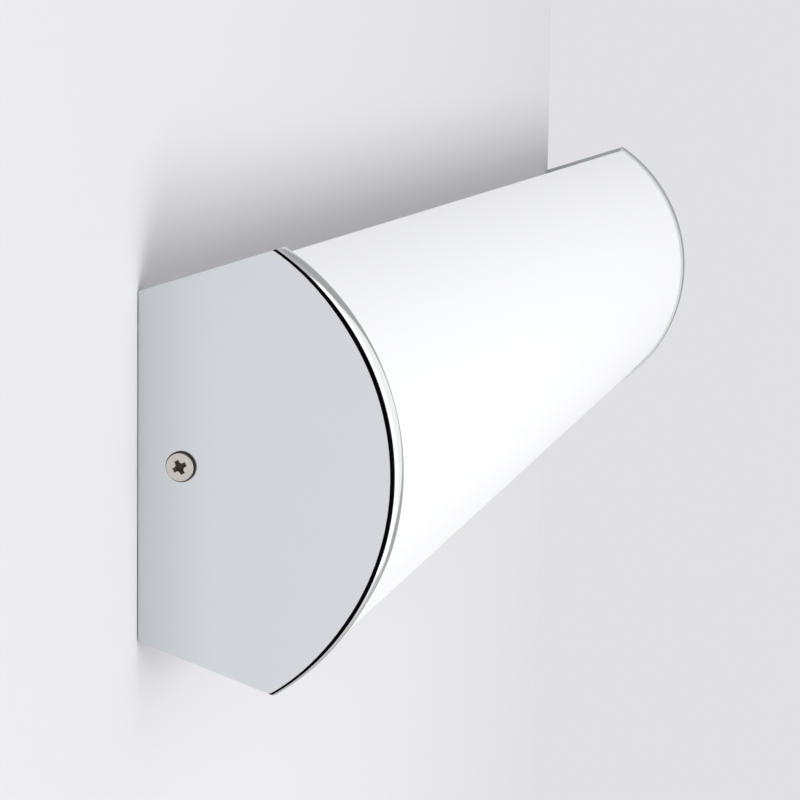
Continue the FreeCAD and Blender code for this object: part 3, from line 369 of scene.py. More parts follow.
    def paint(self, finish: "Finish", test: Callable[[object], bool]) -> None:
        """Gives the faces that pass a test a second finish, once the piece is dressed."""
        self.thing.data.materials.append(finish.material())
        self.pick(Pick.FACES, test)
        self.thing.active_material_index = len(self.thing.data.materials) - 1
        bpy.ops.object.material_slot_assign()
        self.close()

    def place(self, body: str, slot: str, finish: "Finish", *nodes: str) -> bpy.types.Object:
        """Dresses the finished piece and puts it on its body.

        Args:
            body: The body that it rides on.
            slot: The record's material slot; it is not used.
            finish: Its finish.
            nodes: The construction nodes that it stands for.

        Returns:
            The piece's object.
        """
        self.close()
        self.thing.data.materials.clear()
        self.thing.data.materials.append(finish.material())
        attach(self.thing, body)
        if nodes:
            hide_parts(*nodes)
        return self.thing


class Grain(Enum):
    """How a surface's fine relief runs, as the stretch of its pattern along X, Y and Z."""

    EVEN = (1.0, 1.0, 1.0)
    ROUND = (1.0, 0.25, 0.25)


SURFACE_SOCKETS = (
    ("INPUT", "NodeSocketVector", ("Place",)),
    ("INPUT", "NodeSocketColor", ("Colour", "Shade")),
    ("INPUT", "NodeSocketFloat", ("Fine scale", "Broad scale", "Low roughness", "High roughness")),
    ("OUTPUT", "NodeSocketColor", ("Colour",)),
    ("OUTPUT", "NodeSocketFloat", ("Roughness", "Height")),
)
FINE_DETAIL = 3.0
BROAD_DETAIL = 4.0
BROAD_ROUGHNESS = 0.6
# How much the fine pattern adds to the broad one, and between which sums the roughness runs.
FINE_SHARE = 0.35
NOISE_SPAN = (0.35, 1.0)


def fill(node: bpy.types.Node, values: dict[str, object]) -> None:
    """Sets a node's inputs by their names."""
    for name, value in values.items():
        node.inputs[name].default_value = value


def link(tree: bpy.types.NodeTree, start: bpy.types.NodeSocket, end: bpy.types.NodeSocket) -> None:
    """Links two sockets."""
    tree.links.new(start, end)


def surface_group() -> bpy.types.NodeTree:
    """Gives the shared group that varies colour, roughness and relief over a surface.

    Returns:
        The node group, built the first time and shared after that.
    """
    name = "surface_variation"
    if name in bpy.data.node_groups:
        return bpy.data.node_groups[name]
    tree = bpy.data.node_groups.new(name, "ShaderNodeTree")
    for way, kind, sockets in SURFACE_SOCKETS:
        for socket in sockets:
            tree.interface.new_socket(name=socket, in_out=way, socket_type=kind)
    start = tree.nodes.new("NodeGroupInput")
    end = tree.nodes.new("NodeGroupOutput")
    fine = tree.nodes.new("ShaderNodeTexNoise")
    fill(fine, {"Detail": FINE_DETAIL})
    broad = tree.nodes.new("ShaderNodeTexNoise")
    fill(broad, {"Detail": BROAD_DETAIL, "Roughness": BROAD_ROUGHNESS})
    colour = tree.nodes.new("ShaderNodeMix")
    colour.data_type = "RGBA"
    rough = tree.nodes.new("ShaderNodeMapRange")
    both = tree.nodes.new("ShaderNodeMath")
    both.operation = "MULTIPLY_ADD"
    both.inputs[1].default_value = FINE_SHARE
    link(tree, start.outputs["Place"], fine.inputs["Vector"])
    link(tree, start.outputs["Place"], broad.inputs["Vector"])
    link(tree, start.outputs["Fine scale"], fine.inputs["Scale"])
    link(tree, start.outputs["Broad scale"], broad.inputs["Scale"])
    link(tree, broad.outputs["Fac"], colour.inputs["Factor"])
    link(tree, start.outputs["Colour"], colour.inputs["A"])
    link(tree, start.outputs["Shade"], colour.inputs["B"])
    link(tree, fine.outputs["Fac"], both.inputs[0])
    link(tree, broad.outputs["Fac"], both.inputs[2])
    link(tree, both.outputs[0], rough.inputs["Value"])
    fill(rough, {"From Min": NOISE_SPAN[0], "From Max": NOISE_SPAN[1]})
    link(tree, start.outputs["Low roughness"], rough.inputs["To Min"])
    link(tree, start.outputs["High roughness"], rough.inputs["To Max"])
    link(tree, colour.outputs["Result"], end.inputs["Colour"])
    link(tree, rough.outputs["Result"], end.inputs["Roughness"])
    link(tree, fine.outputs["Fac"], end.inputs["Height"])
    return tree


Colour = tuple[float, float, float]


@dataclass(frozen=True)
class Finish:
    """One finish: its colours, gloss and fine relief, and where set its painted glow and painted wall shade.
    """

    name: str
    colour: Colour
    shade: Colour
    roughness: tuple[float, float]
    metallic: float = 0.0
    fine_scale: float = 900.0
    broad_scale: float = 14.0
    relief: float = 0.0
    grain: Grain = Grain.EVEN
    coat: float = 0.0
    ior: float = 1.5
    subsurface: float = 0.0
    subsurface_radius: tuple[float, float, float] = (1.0, 1.0, 1.0)
    subsurface_depth: float = 2.0 * MM
    # Painted light: an even glow on a part that is no lit lamp, set on the diffuser.
    glow: float = 0.0
    glow_colour: Colour = (0.98, 0.98, 1.0)
    # Painted shade: the share of the colour kept at the wall, and where that darkening starts and ends.
    wall_tone: float = 1.0
    tone_behind: float = 6.6 * MM
    tone_reach: float = 22.0 * MM

    def material(self) -> bpy.types.Material:
        """Gives the finish's material.

        Returns:
            The material, built the first time and shared after that.
        """
        if self.name in bpy.data.materials:
            return bpy.data.materials[self.name]
        made = bpy.data.materials.new(self.name)
        made.use_nodes = True
        tree = made.node_tree
        shader = tree.nodes["Principled BSDF"]
        place = tree.nodes.new("ShaderNodeTexCoord")
        stretch = tree.nodes.new("ShaderNodeMapping")
        stretch.inputs["Scale"].default_value = self.grain.value
        varied = tree.nodes.new("ShaderNodeGroup")
        varied.node_tree = surface_group()
        fill(varied, {
            "Colour": (*self.colour, 1.0), "Shade": (*self.shade, 1.0), "Fine scale": self.fine_scale,
            "Broad scale": self.broad_scale, "Low roughness": self.roughness[0],
            "High roughness": self.roughness[1],
        })
        link(tree, place.outputs["Object"], stretch.inputs["Vector"])
        link(tree, stretch.outputs["Vector"], varied.inputs["Place"])
        link(tree, varied.outputs["Colour"], shader.inputs["Base Color"])
        link(tree, varied.outputs["Roughness"], shader.inputs["Roughness"])
        fill(shader, {
            "Metallic": self.metallic, "IOR": self.ior, "Coat Weight": self.coat,
            "Subsurface Weight": self.subsurface, "Subsurface Radius": self.subsurface_radius,
            "Subsurface Scale": self.subsurface_depth, "Emission Color": (*self.glow_colour, 1.0),
            "Emission Strength": self.glow,
        })
        if self.wall_tone < 1.0:
            self.dull_at_wall(
                tree, place.outputs["Object"], varied.outputs["Colour"], shader.inputs["Base Color"],
            )
        if self.relief:
            bump = tree.nodes.new("ShaderNodeBump")
            fill(bump, {"Strength": 1.0, "Distance": self.relief})
            link(tree, varied.outputs["Height"], bump.inputs["Height"])
            link(tree, bump.outputs["Normal"], shader.inputs["Normal"])
        return made

    def dull_at_wall(
        self, tree: bpy.types.NodeTree, place: bpy.types.NodeSocket, colour: bpy.types.NodeSocket,
        base: bpy.types.NodeSocket,
    ) -> None:
        """Paints shade on the finish softly towards the wall: a darker colour that stands in for the wall's
        contact shade seen in the polished plate.

        Args:
            tree: The material's nodes.
            place: The place on the piece.
            colour: The colour before the painted shade.
            base: The shader's base colour.
        """
        apart = tree.nodes.new("ShaderNodeSeparateXYZ")
        reach = tree.nodes.new("ShaderNodeMapRange")
        reach.interpolation_type = "SMOOTHSTEP"
        fill(reach, {
            "From Min": self.tone_behind, "From Max": -self.tone_reach,
            "To Min": self.wall_tone, "To Max": 1.0,
        })
        shaded_colour = tree.nodes.new("ShaderNodeVectorMath")
        shaded_colour.operation = "SCALE"
        link(tree, place, apart.inputs[0])
        link(tree, apart.outputs["Y"], reach.inputs["Value"])
        link(tree, colour, shaded_colour.inputs[0])
        link(tree, reach.outputs["Result"], shaded_colour.inputs["Scale"])
        link(tree, shaded_colour.outputs["Vector"], base)


class Finishes(Enum):
    """The finishes of the light's pieces."""

    # The cap's colour gets painted shade towards the wall, for the contact shade seen in its reflection.
    CAP = Finish(
        "polished_cap", (0.768, 0.80, 0.797), (0.745, 0.775, 0.772), (0.045, 0.075), metallic=1.0,
        fine_scale=2200.0, broad_scale=9.0, wall_tone=0.79,
    )
    # The diffuser's glow is painted light: the lamp is off, and the glow evens out its shading from top to
    # bottom.
    OPAL = Finish(
        "opal_diffuser", (0.49, 0.492, 0.51), (0.48, 0.483, 0.505), (0.42, 0.48),
        fine_scale=1500.0, broad_scale=6.0, relief=0.004 * MM, subsurface=0.25, glow=0.39,
    )
    NICKEL = Finish(
        "nickel_screw", (0.72, 0.68, 0.62), (0.60, 0.56, 0.50), (0.16, 0.30), metallic=1.0,
        fine_scale=2600.0, broad_scale=420.0, relief=0.006 * MM,
    )
    # Painted shade: a near-black colour for the floor of the screws' cross recess.
    GRIME = Finish(
        "recess_grime", (0.045, 0.032, 0.026), (0.11, 0.085, 0.07), (0.55, 0.8), metallic=0.3,
        fine_scale=2600.0, broad_scale=900.0,
    )
    # Painted shade and dark steel: on the screw head's side it is only painted shade and dark reflection; on
    # the spring washer it is partly darkened spring steel and partly painted shade.
    SHADE = Finish(
        "dull_head_side", (0.10, 0.095, 0.085), (0.06, 0.055, 0.05), (0.3, 0.5), metallic=0.8,
        fine_scale=2600.0, broad_scale=420.0,
    )
    # Painted shade: a near-black colour on the spring washer's cut ends, for the shade in its split.
    OXIDE = Finish(
        "cut_spring_end", (0.012, 0.012, 0.013), (0.03, 0.028, 0.026), (0.5, 0.7), metallic=0.2,
        fine_scale=2600.0, broad_scale=900.0,
    )
    ZINC = Finish(
        "zinc_plating", (0.66, 0.67, 0.69), (0.55, 0.57, 0.60), (0.24, 0.42), metallic=1.0,
        fine_scale=1800.0, broad_scale=160.0, relief=0.008 * MM,
    )
    CHANNEL = Finish(
        "channel_powder_coat", (0.80, 0.81, 0.815), (0.77, 0.78, 0.79), (0.38, 0.52),
        fine_scale=1100.0, broad_scale=12.0, relief=0.02 * MM,
    )
    REFLECTOR = Finish(
        "reflector_enamel", (0.88, 0.88, 0.87), (0.86, 0.86, 0.855), (0.14, 0.24),
        fine_scale=500.0, broad_scale=9.0, relief=0.006 * MM, coat=0.4,
    )
    FOAM = Finish(
        "gasket_foam", (0.055, 0.058, 0.062), (0.035, 0.037, 0.040), (0.85, 0.98),
        fine_scale=2400.0, broad_scale=300.0, relief=0.12 * MM,
    )
    RUBBER = Finish(
        "black_rubber", (0.022, 0.022, 0.023), (0.032, 0.032, 0.034), (0.55, 0.72),
        fine_scale=1600.0, broad_scale=90.0, relief=0.02 * MM,
    )
    BRASS = Finish(
        "terminal_brass", (0.78, 0.58, 0.28), (0.66, 0.47, 0.21), (0.18, 0.34), metallic=1.0,
        fine_scale=2000.0, broad_scale=200.0, relief=0.004 * MM,
    )
    WHITE_PLASTIC = Finish(
        "white_moulding", (0.84, 0.84, 0.82), (0.81, 0.81, 0.78), (0.34, 0.46),
        fine_scale=2600.0, broad_scale=60.0, relief=0.012 * MM,
    )
    BLACK_PLASTIC = Finish(
        "black_moulding", (0.03, 0.03, 0.032), (0.05, 0.05, 0.052), (0.30, 0.45),
        fine_scale=2400.0, broad_scale=80.0, relief=0.01 * MM,
    )
    BOARD = Finish(
        "circuit_board", (0.035, 0.16, 0.055), (0.05, 0.22, 0.08), (0.25, 0.40),
        fine_scale=700.0, broad_scale=120.0, relief=0.01 * MM,
    )
    LAMP_GLASS = Finish(
        "coated_lamp_glass", (0.88, 0.88, 0.86), (0.86, 0.86, 0.845), (0.05, 0.09),
        fine_scale=900.0, broad_scale=16.0, coat=1.0,
    )
    LAMP_METAL = Finish(
        "lamp_cap_aluminium", (0.76, 0.77, 0.78), (0.66, 0.67, 0.69), (0.22, 0.36), metallic=1.0,
        fine_scale=1400.0, broad_scale=160.0, relief=0.006 * MM, grain=Grain.ROUND,
    )
    BROWN_LEAD = Finish(
        "brown_lead", (0.17, 0.075, 0.035), (0.13, 0.055, 0.026), (0.36, 0.48), broad_scale=120.0,
    )
    BLUE_LEAD = Finish(
        "blue_lead", (0.03, 0.10, 0.36), (0.025, 0.08, 0.29), (0.36, 0.48), broad_scale=120.0,
    )
    GREEN_LEAD = Finish(
        "green_and_yellow_lead", (0.05, 0.30, 0.06), (0.62, 0.56, 0.04), (0.36, 0.48), broad_scale=220.0,
    )
    WHITE_LEAD = Finish(
        "white_lead", (0.78, 0.78, 0.76), (0.72, 0.72, 0.70), (0.36, 0.48), broad_scale=120.0,
    )


CARRIED_OVER = {
    "back_channel": Finishes.CHANNEL,
    "gear_tray": Finishes.REFLECTOR,
    "cap_gasket_left": Finishes.FOAM,
    "cap_gasket_right": Finishes.FOAM,
    "clinch_nut_left": Finishes.ZINC,
    "clinch_nut_right": Finishes.ZINC,
    "cable_grommet": Finishes.RUBBER,
    "cable_clamp": Finishes.WHITE_PLASTIC,
    "cable_clamp_screws": Finishes.ZINC,
    "terminal_block": Finishes.WHITE_PLASTIC,
    "terminal_sleeves": Finishes.BRASS,
    "terminal_screws": Finishes.ZINC,
    "terminal_block_screws": Finishes.ZINC,
    "earth_stud": Finishes.ZINC,
    "earth_ring": Finishes.BRASS,
    "earth_washer": Finishes.ZINC,
    "earth_nut": Finishes.ZINC,
    "tray_posts": Finishes.ZINC,
    "tray_screws": Finishes.ZINC,
    "ballast_base": Finishes.ZINC,
    "ballast_cover": Finishes.REFLECTOR,
    "ballast_board": Finishes.BOARD,
    "ballast_parts": Finishes.BLACK_PLASTIC,
    "ballast_connectors": Finishes.WHITE_PLASTIC,
    "ballast_screws": Finishes.ZINC,
    "lampholder_left": Finishes.WHITE_PLASTIC,
    "lampholder_right": Finishes.WHITE_PLASTIC,
    "lampholder_contacts": Finishes.BRASS,
    "rotor_left": Finishes.WHITE_PLASTIC,
    "rotor_right": Finishes.WHITE_PLASTIC,
    "lamp_tube": Finishes.LAMP_GLASS,
    "lamp_caps": Finishes.LAMP_METAL,
    "lamp_pins": Finishes.BRASS,
    "live_lead": Finishes.BROWN_LEAD,
    "neutral_lead": Finishes.BLUE_LEAD,
    "earth_lead": Finishes.GREEN_LEAD,
    "lamp_leads_right": Finishes.WHITE_LEAD,
    "lamp_leads_left": Finishes.WHITE_LEAD,
}


def dress_carried_nodes() -> None:
    """Gives every construction node that stays in view its finish."""
    for name, finish in CARRIED_OVER.items():
        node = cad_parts[name]
        node.data.materials.clear()
        node.data.materials.append(finish.value.material())


@dataclass
class EndCap:
    """A pressed cap: a flat plate whose curved front edge is turned in over the diffuser."""

    side: Side
    profile: Profile = field(default_factory=Profile)
    depth: float = 7.6 * MM
    bend: float = 1.9 * MM
    corner_bend: float = 0.55
    bend_fade: float = 0.55
    hole: float = 4.5 * MM
    arc_sides: int = 480
    bend_steps: int = 14
    support: float = 0.2 * MM
    curl: float = 0.17 * MM
    curl_depth: float = 5.0 * MM
    curl_steps: int = 7
    edge_break: float = 0.1 * MM

    def build(self) -> bpy.types.Object:
        """Models the cap and puts it in place.

        Returns:
            The finished piece.
        """
        profile = self.profile
        sign = self.side.value
        face = profile.length / 2 * sign
        back = face - self.depth * sign
        cap = Piece.rod(
            f"end_cap_shell_{self.side.word}", Vector((min(face, back), 0, 0)), self.depth,
            profile.front_radius, self.arc_sides,
        )
        cap.drop(Pick.FACES, lambda item: abs(item.calc_center_median().x - back) < self.edge_break)
        cap.weigh(lambda edge: self.bend_share(edge, face))
        cap.apply(
            "BEVEL", width=self.bend, segments=self.bend_steps, limit_method="WEIGHT",
            use_clamp_overlap=False,
        )
        cap.inset(self.support, is_round_end)
        self.curl_in(cap, back)
        self.trim(cap)
        cap.apply("SOLIDIFY", thickness=profile.cap_sheet, offset=-1.0, use_even_offset=True)
        drill = Piece.rod(
            "cap_drill", profile.on_screw(face - self.depth), self.depth * 2, self.hole / 2, HOLE_SIDES,
        )
        cap.combine("DIFFERENCE", drill)
        cap.soften(self.edge_break, SHEET_SMOOTH)
        return cap.place(
            f"{self.side.word}_cap", "polished_chrome", Finishes.CAP.value, f"end_cap_{self.side.word}",
        )

    def bend_share(self, edge: bmesh.types.BMEdge, face: float) -> float:
        """Gives how much of the bend an edge has: all at the front and less at the two corners.

        Args:
            edge: An edge of the round blank.
            face: Where the plate's outer face is along X.

        Returns:
            Its share of the bend, or 0 for an edge that stays sharp.
        """
        if any(abs(corner.co.x - face) > self.edge_break for corner in edge.verts):
            return 0.0
        middle = (edge.verts[0].co + edge.verts[1].co) / 2
        corner = math.atan2(self.profile.height / 2, self.profile.corner_reach)
        angle = math.atan2(abs(middle.z), -middle.y)
        near = min(max((angle / corner - self.bend_fade) / (1 - self.bend_fade), 0.0), 1.0)
        return 1.0 + (self.corner_bend - 1.0) * near * near * (3 - 2 * near)

    def curl_in(self, cap: Piece, back: float) -> None:
        """Draws the flange's free edge in towards the diffuser.

        Args:
            cap: The round blank.
            back: Where its open end is along X.
        """
        sign = self.side.value
        for step in range(self.curl_steps, 0, -1):
            line = back + self.curl_depth * step / self.curl_steps * sign
            cap.slice(Vector((line, 0, 0)), Vector((1, 0, 0)), clear=False)
        for step in range(self.curl_steps):
            line = back + self.curl_depth * step / self.curl_steps * sign
            share = 1.0 - self.curl / self.profile.front_radius * (1.0 - step / self.curl_steps) ** 2
            cap.scale_about(
                Vector(), Vector((1, share, share)), lambda corner: abs(corner.co.x - line) < self.edge_break,
            )

    def trim(self, cap: Piece) -> None:
        """Cuts the round blank back to the wall and to the two flared edges."""
        profile = self.profile
        cap.slice(Vector(), Vector((0, 1, 0)), fill=False)
        for way in (-1, 1):
            corner = Vector((0, 0, profile.wall_height / 2 * way))
            cap.slice(corner, Vector((0, profile.flare, way)), fill=False)


@dataclass
class Diffuser:
    """The opal arc, with a web and a hook inside each edge that run in the channel's lips."""

    profile: Profile = field(default_factory=Profile)
    web_wall: float = 1.5 * MM
    hook_wall: float = 1.5 * MM
    hook_reach: float = 1.9 * MM
    root: float = 0.6 * MM
    arc_sides: int = 480
    edge_break: float = 0.2 * MM
    facing: float = 0.9

    def build(self) -> bpy.types.Object:
        """Models the diffuser and puts it in place.

        Returns:
            The finished piece.
        """
        profile = self.profile
        end = profile.channel_end
        shell = Piece.rod(
            "diffuser_shell", Vector((-end, 0, 0)), end * 2, profile.diffuser_outer, self.arc_sides,
        )
        shell.drop(Pick.FACES, is_round_end)
        shell.apply("SOLIDIFY", thickness=profile.diffuser_wall, offset=-1.0, use_even_offset=True)
        shell.slice(Vector(), Vector((0, 1, 0)))
        for way in (-1, 1):
            corner = Vector((0, 0, profile.channel_outer * way))
            shell.slice(corner, Vector((0, profile.flare, way)))
        shell.combine("UNION", self.web(-1), self.web(1))
        shell.soften(self.edge_break, SHEET_SMOOTH)
        return shell.place("diffuser", "opal_plastic", Finishes.OPAL.value, "diffuser")

    def web(self, way: int) -> Piece:
        """Models one web with its hook.

        Args:
            way: 1 for the upper one and -1 for the lower one.

        Returns:
            The web as a closed piece, its root sunk in the shell.
        """
        profile = self.profile
        end = profile.channel_end
        outer = profile.lip_end - profile.slide_gap
        inner = outer - self.web_wall
        hook_front = profile.lip_front - profile.channel_sheet - profile.slide_gap
        hook_back = hook_front - self.hook_wall
        root = math.sqrt(profile.diffuser_inner ** 2 - outer ** 2) + self.root
        heights = sorted((inner * way, outer * way))
        web = Piece.block(
            "diffuser_web", Vector((-end, -root, heights[0])), Vector((end, -hook_back, heights[1])),
        )
        web.slice(Vector((0, -hook_front, 0)), Vector((0, 1, 0)), clear=False)
        web.pull(Vector((0, 0, self.hook_reach * way)), lambda face: (
            face.normal.z * way > self.facing and -face.calc_center_median().y < hook_front
        ))
        return web


@dataclass
class CapScrew:
    """The cheese-head screw in a cap, with a cross recess and a rolled thread."""

    side: Side
    profile: Profile = field(default_factory=Profile)
    washer: float = 0.5 * MM
    head: float = 7.0 * MM
    head_height: float = 0.9 * MM
    head_round: float = 0.2 * MM
    head_steps: int = 8
    length: float = 10.0 * MM
    shank: float = 4.0 * MM
    shank_start: float = 0.3
    pitch: float = 0.7 * MM
    thread_depth: float = 0.6
    # Steps along and out, as shares of the pitch and of the thread's depth.
    thread_form: tuple[tuple[float, float], ...] = ((0.12, 0.0), (0.36, 1.0), (0.12, 0.0), (0.40, -1.0))
    thread_steps: int = 36
    thread_merge: float = 1e-6
    recess_width: float = 3.7 * MM
    recess_arm: float = 1.2 * MM
    recess_depth: float = 1.3 * MM
    recess_taper: tuple[float, float, float] = (1.0, 0.4, 0.6)
    recess_turn: float = 29.0
    cone_shares: tuple[float, float] = (0.5, 0.95)
    cone_sides: int = 32
    steep: float = 0.5
    edge_break: float = 0.06 * MM

    @property
    def seat(self) -> float:
        """Where the head sits on its washer, along X."""
        return (self.profile.length / 2 + self.washer) * self.side.value

    def build(self) -> bpy.types.Object:
        """Models the screw and puts it in place.

        Returns:
            The finished piece.
        """
        sign = self.side.value
        top = self.seat + self.head_height * sign
        middle = self.profile.on_screw(top)
        head = Piece.rod(
            f"cheese_screw_{self.side.word}", self.profile.on_screw(min(self.seat, top)),
            self.head_height, self.head / 2, HEAD_SIDES,
        )
        head.bevel(self.head_round, self.head_steps, lambda edge: all(
            abs(corner.co.x - top) < self.edge_break for corner in edge.verts
        ))
        head.combine("DIFFERENCE", *self.recess(top))
        head.combine("UNION", self.thread())
        head.soften(self.edge_break, TURNED_SMOOTH)
        made = head.place(
            f"{self.side.word}_screw", "nickel_steel", Finishes.NICKEL.value, f"cap_screw_{self.side.word}",
        )
        floor = self.recess_depth + self.edge_break
        # Paints shade on the floor of the cross recess.
        head.paint(Finishes.GRIME.value, lambda face: (
            self.edge_break * 2 < (top - face.calc_center_median().x) * sign < floor
            and (face.calc_center_median() - middle).yz.length < self.shank / 2
        ))
        # Paints shade and dark reflection on the head's round side.
        head.paint(Finishes.SHADE.value, lambda face: (
            (face.calc_center_median() - middle).yz.length > self.head / 2 - self.edge_break
            and abs(face.normal.x) < self.steep
        ))
        return made

    def recess(self, top: float) -> list[Piece]:
        """Models the tools that cut the cross recess.

        Args:
            top: Where the head's top is along X.

        Returns:
            Two tapered bars and the cone between them.
        """
        sign = self.side.value
        middle = self.profile.on_screw(top)
        floor = top - self.recess_depth * sign
        proud = top + self.edge_break * sign
        tools = []
        for quarter in (0, 1):
            half = Vector((0, self.recess_width / 2, self.recess_arm / 2))
            low = self.profile.on_screw(min(floor, proud)) - half
            high = self.profile.on_screw(max(floor, proud)) + half
            bar = Piece.block("recess_bar", low, high)
            bar.scale_about(
                middle, Vector(self.recess_taper), lambda corner: abs(corner.co.x - floor) < self.edge_break,
            )
            bar.turn(middle, QUARTER_TURN * quarter - math.radians(self.recess_turn))
            tools.append(bar)
        start = self.profile.on_screw(min(floor, proud))
        first, last = (self.recess_arm * share for share in self.cone_shares[::sign])
        tools.append(Piece.rod(
            "recess_cone", start, self.recess_depth + self.edge_break, first, self.cone_sides, last,
        ))
        return tools

    def thread(self) -> Piece:
        """Models the threaded shank as one helical turn repeated along its length.

        Returns:
            The shank as a closed piece that starts inside the head.
        """
        sign = self.side.value
        crest = self.shank / 2
        root = crest - self.pitch * self.thread_depth
        turns = int(self.length / self.pitch)
        start = self.seat + self.head_height * self.shank_start * sign
        clear_selection()
        bpy.ops.mesh.primitive_plane_add(size=self.pitch)
        shank = Piece("screw_thread")
        shank.pick(Pick.CORNERS, lambda corner: True)
        bpy.ops.mesh.merge(type="CENTER")
        bpy.ops.transform.translate(value=Vector((0, 0, root)))
        for along, out in self.thread_form:
            move = Vector((along * self.pitch, 0, out * (crest - root)))
            bpy.ops.mesh.extrude_region_move(TRANSFORM_OT_translate={"value": move})
        shank.close()
        shank.apply(
            "SCREW", axis="X", angle=FULL_TURN, screw_offset=self.pitch, iterations=turns,
            steps=self.thread_steps, render_steps=self.thread_steps, use_merge_vertices=True,
            merge_threshold=self.thread_merge,
        )
        shank.pick(Pick.EDGES, lambda edge: edge.is_boundary)
        bpy.ops.mesh.edge_face_add()
        shank.close()
        reach = turns * self.pitch
        shank.thing.location = self.profile.on_screw(start if sign < 0 else start - reach - self.pitch)
        shank.wake()
        bpy.ops.object.transform_apply(location=True, rotation=True, scale=True)
        shank.face_outwards()
        return shank


@dataclass
class LockWasher:
    """The split spring washer under a cap screw's head."""

    side: Side
    profile: Profile = field(default_factory=Profile)
    size: float = 7.7 * MM
    hole: float = 4.2 * MM
    thickness: float = 0.48 * MM
    gap: float = 1.2 * MM
    gap_turn: float = 146.0
    # Length of painted shade on each side of the split.
    dark_end: float = 1.1 * MM
    edge_break: float = 0.06 * MM

    def build(self) -> bpy.types.Object:
        """Models the washer and puts it in place.

        Returns:
            The finished piece.
        """
        sign = self.side.value
        face = self.profile.length / 2 * sign
        start = self.profile.on_screw(min(face, face + self.thickness * sign))
        washer = Piece.rod(
            f"lock_washer_{self.side.word}", start, self.thickness, self.size / 2, HEAD_SIDES,
        )
        drill = Piece.rod(
            "washer_drill", start - Vector((self.thickness, 0, 0)), self.thickness * 3,
            self.hole / 2, HOLE_SIDES,
        )
        split = Piece.block(
            "washer_split", start - Vector((self.thickness, 0, self.gap / 2)),
            start + Vector((self.thickness * 2, -self.size, self.gap / 2)),
        )
        split.turn(start, -math.radians(self.gap_turn))
        washer.combine("DIFFERENCE", drill, split)
        way = Matrix.Rotation(-math.radians(self.gap_turn), 3, "X") @ Vector((0, -1, 0))
        across = way.cross(Vector((1, 0, 0)))
        for end in (-1, 1):
            washer.slice(start + across * (self.dark_end * end), across, clear=False)
        washer.soften(self.edge_break, TURNED_SMOOTH)
        # The washer's dark steel is partly its own colour and partly painted shade round the head.
        made = washer.place(
            f"{self.side.word}_washer", "nickel_steel", Finishes.SHADE.value,
            f"screw_washer_{self.side.word}",
        )
        # Paints shade on the washer's ends by its split.
        washer.paint(Finishes.OXIDE.value, lambda item: (
            way.dot(item.calc_center_median() - start) > 0
            and abs(across.dot(item.calc_center_median() - start)) < self.dark_end
        ))
        return made


@dataclass(frozen=True)
class Card:
    """A glowing card that only glossy surfaces show."""

    name: str
    place: Vector
    turn: tuple[float, float, float]
    size: Vector
    glow: float


@dataclass(frozen=True)
class Lamp:
    """A square lamp that is aimed at the light, with its width and its power in watts."""

    name: str
    place: Vector
    size: float
    power: float


CARDS = (
    Card("front_card", Vector((0.0, -1.2, 0)), FACING_Y, size=Vector((2.4, 3.0, 1)), glow=1.35),
    Card("right_card", Vector((1.2, -0.8, -0.05)), FACING_X, size=Vector((1.7, 1.2, 1)), glow=1.05),
    Card("edge_card", Vector((1.19, -0.13, -0.05)), FACING_X, size=Vector((1.7, 0.34, 1)), glow=0.42),
    Card("low_card", Vector((0.1, -0.008, -0.36)), FACING_Y, size=Vector((0.8, 0.6, 1)), glow=1.1),
)
LAMPS = (
    Lamp("key", Vector((-0.68, -1.4, -0.3)), size=1.3, power=15.2),
    Lamp("fill", Vector((-0.1, -1.4, 0.95)), size=1.2, power=2.4),
)


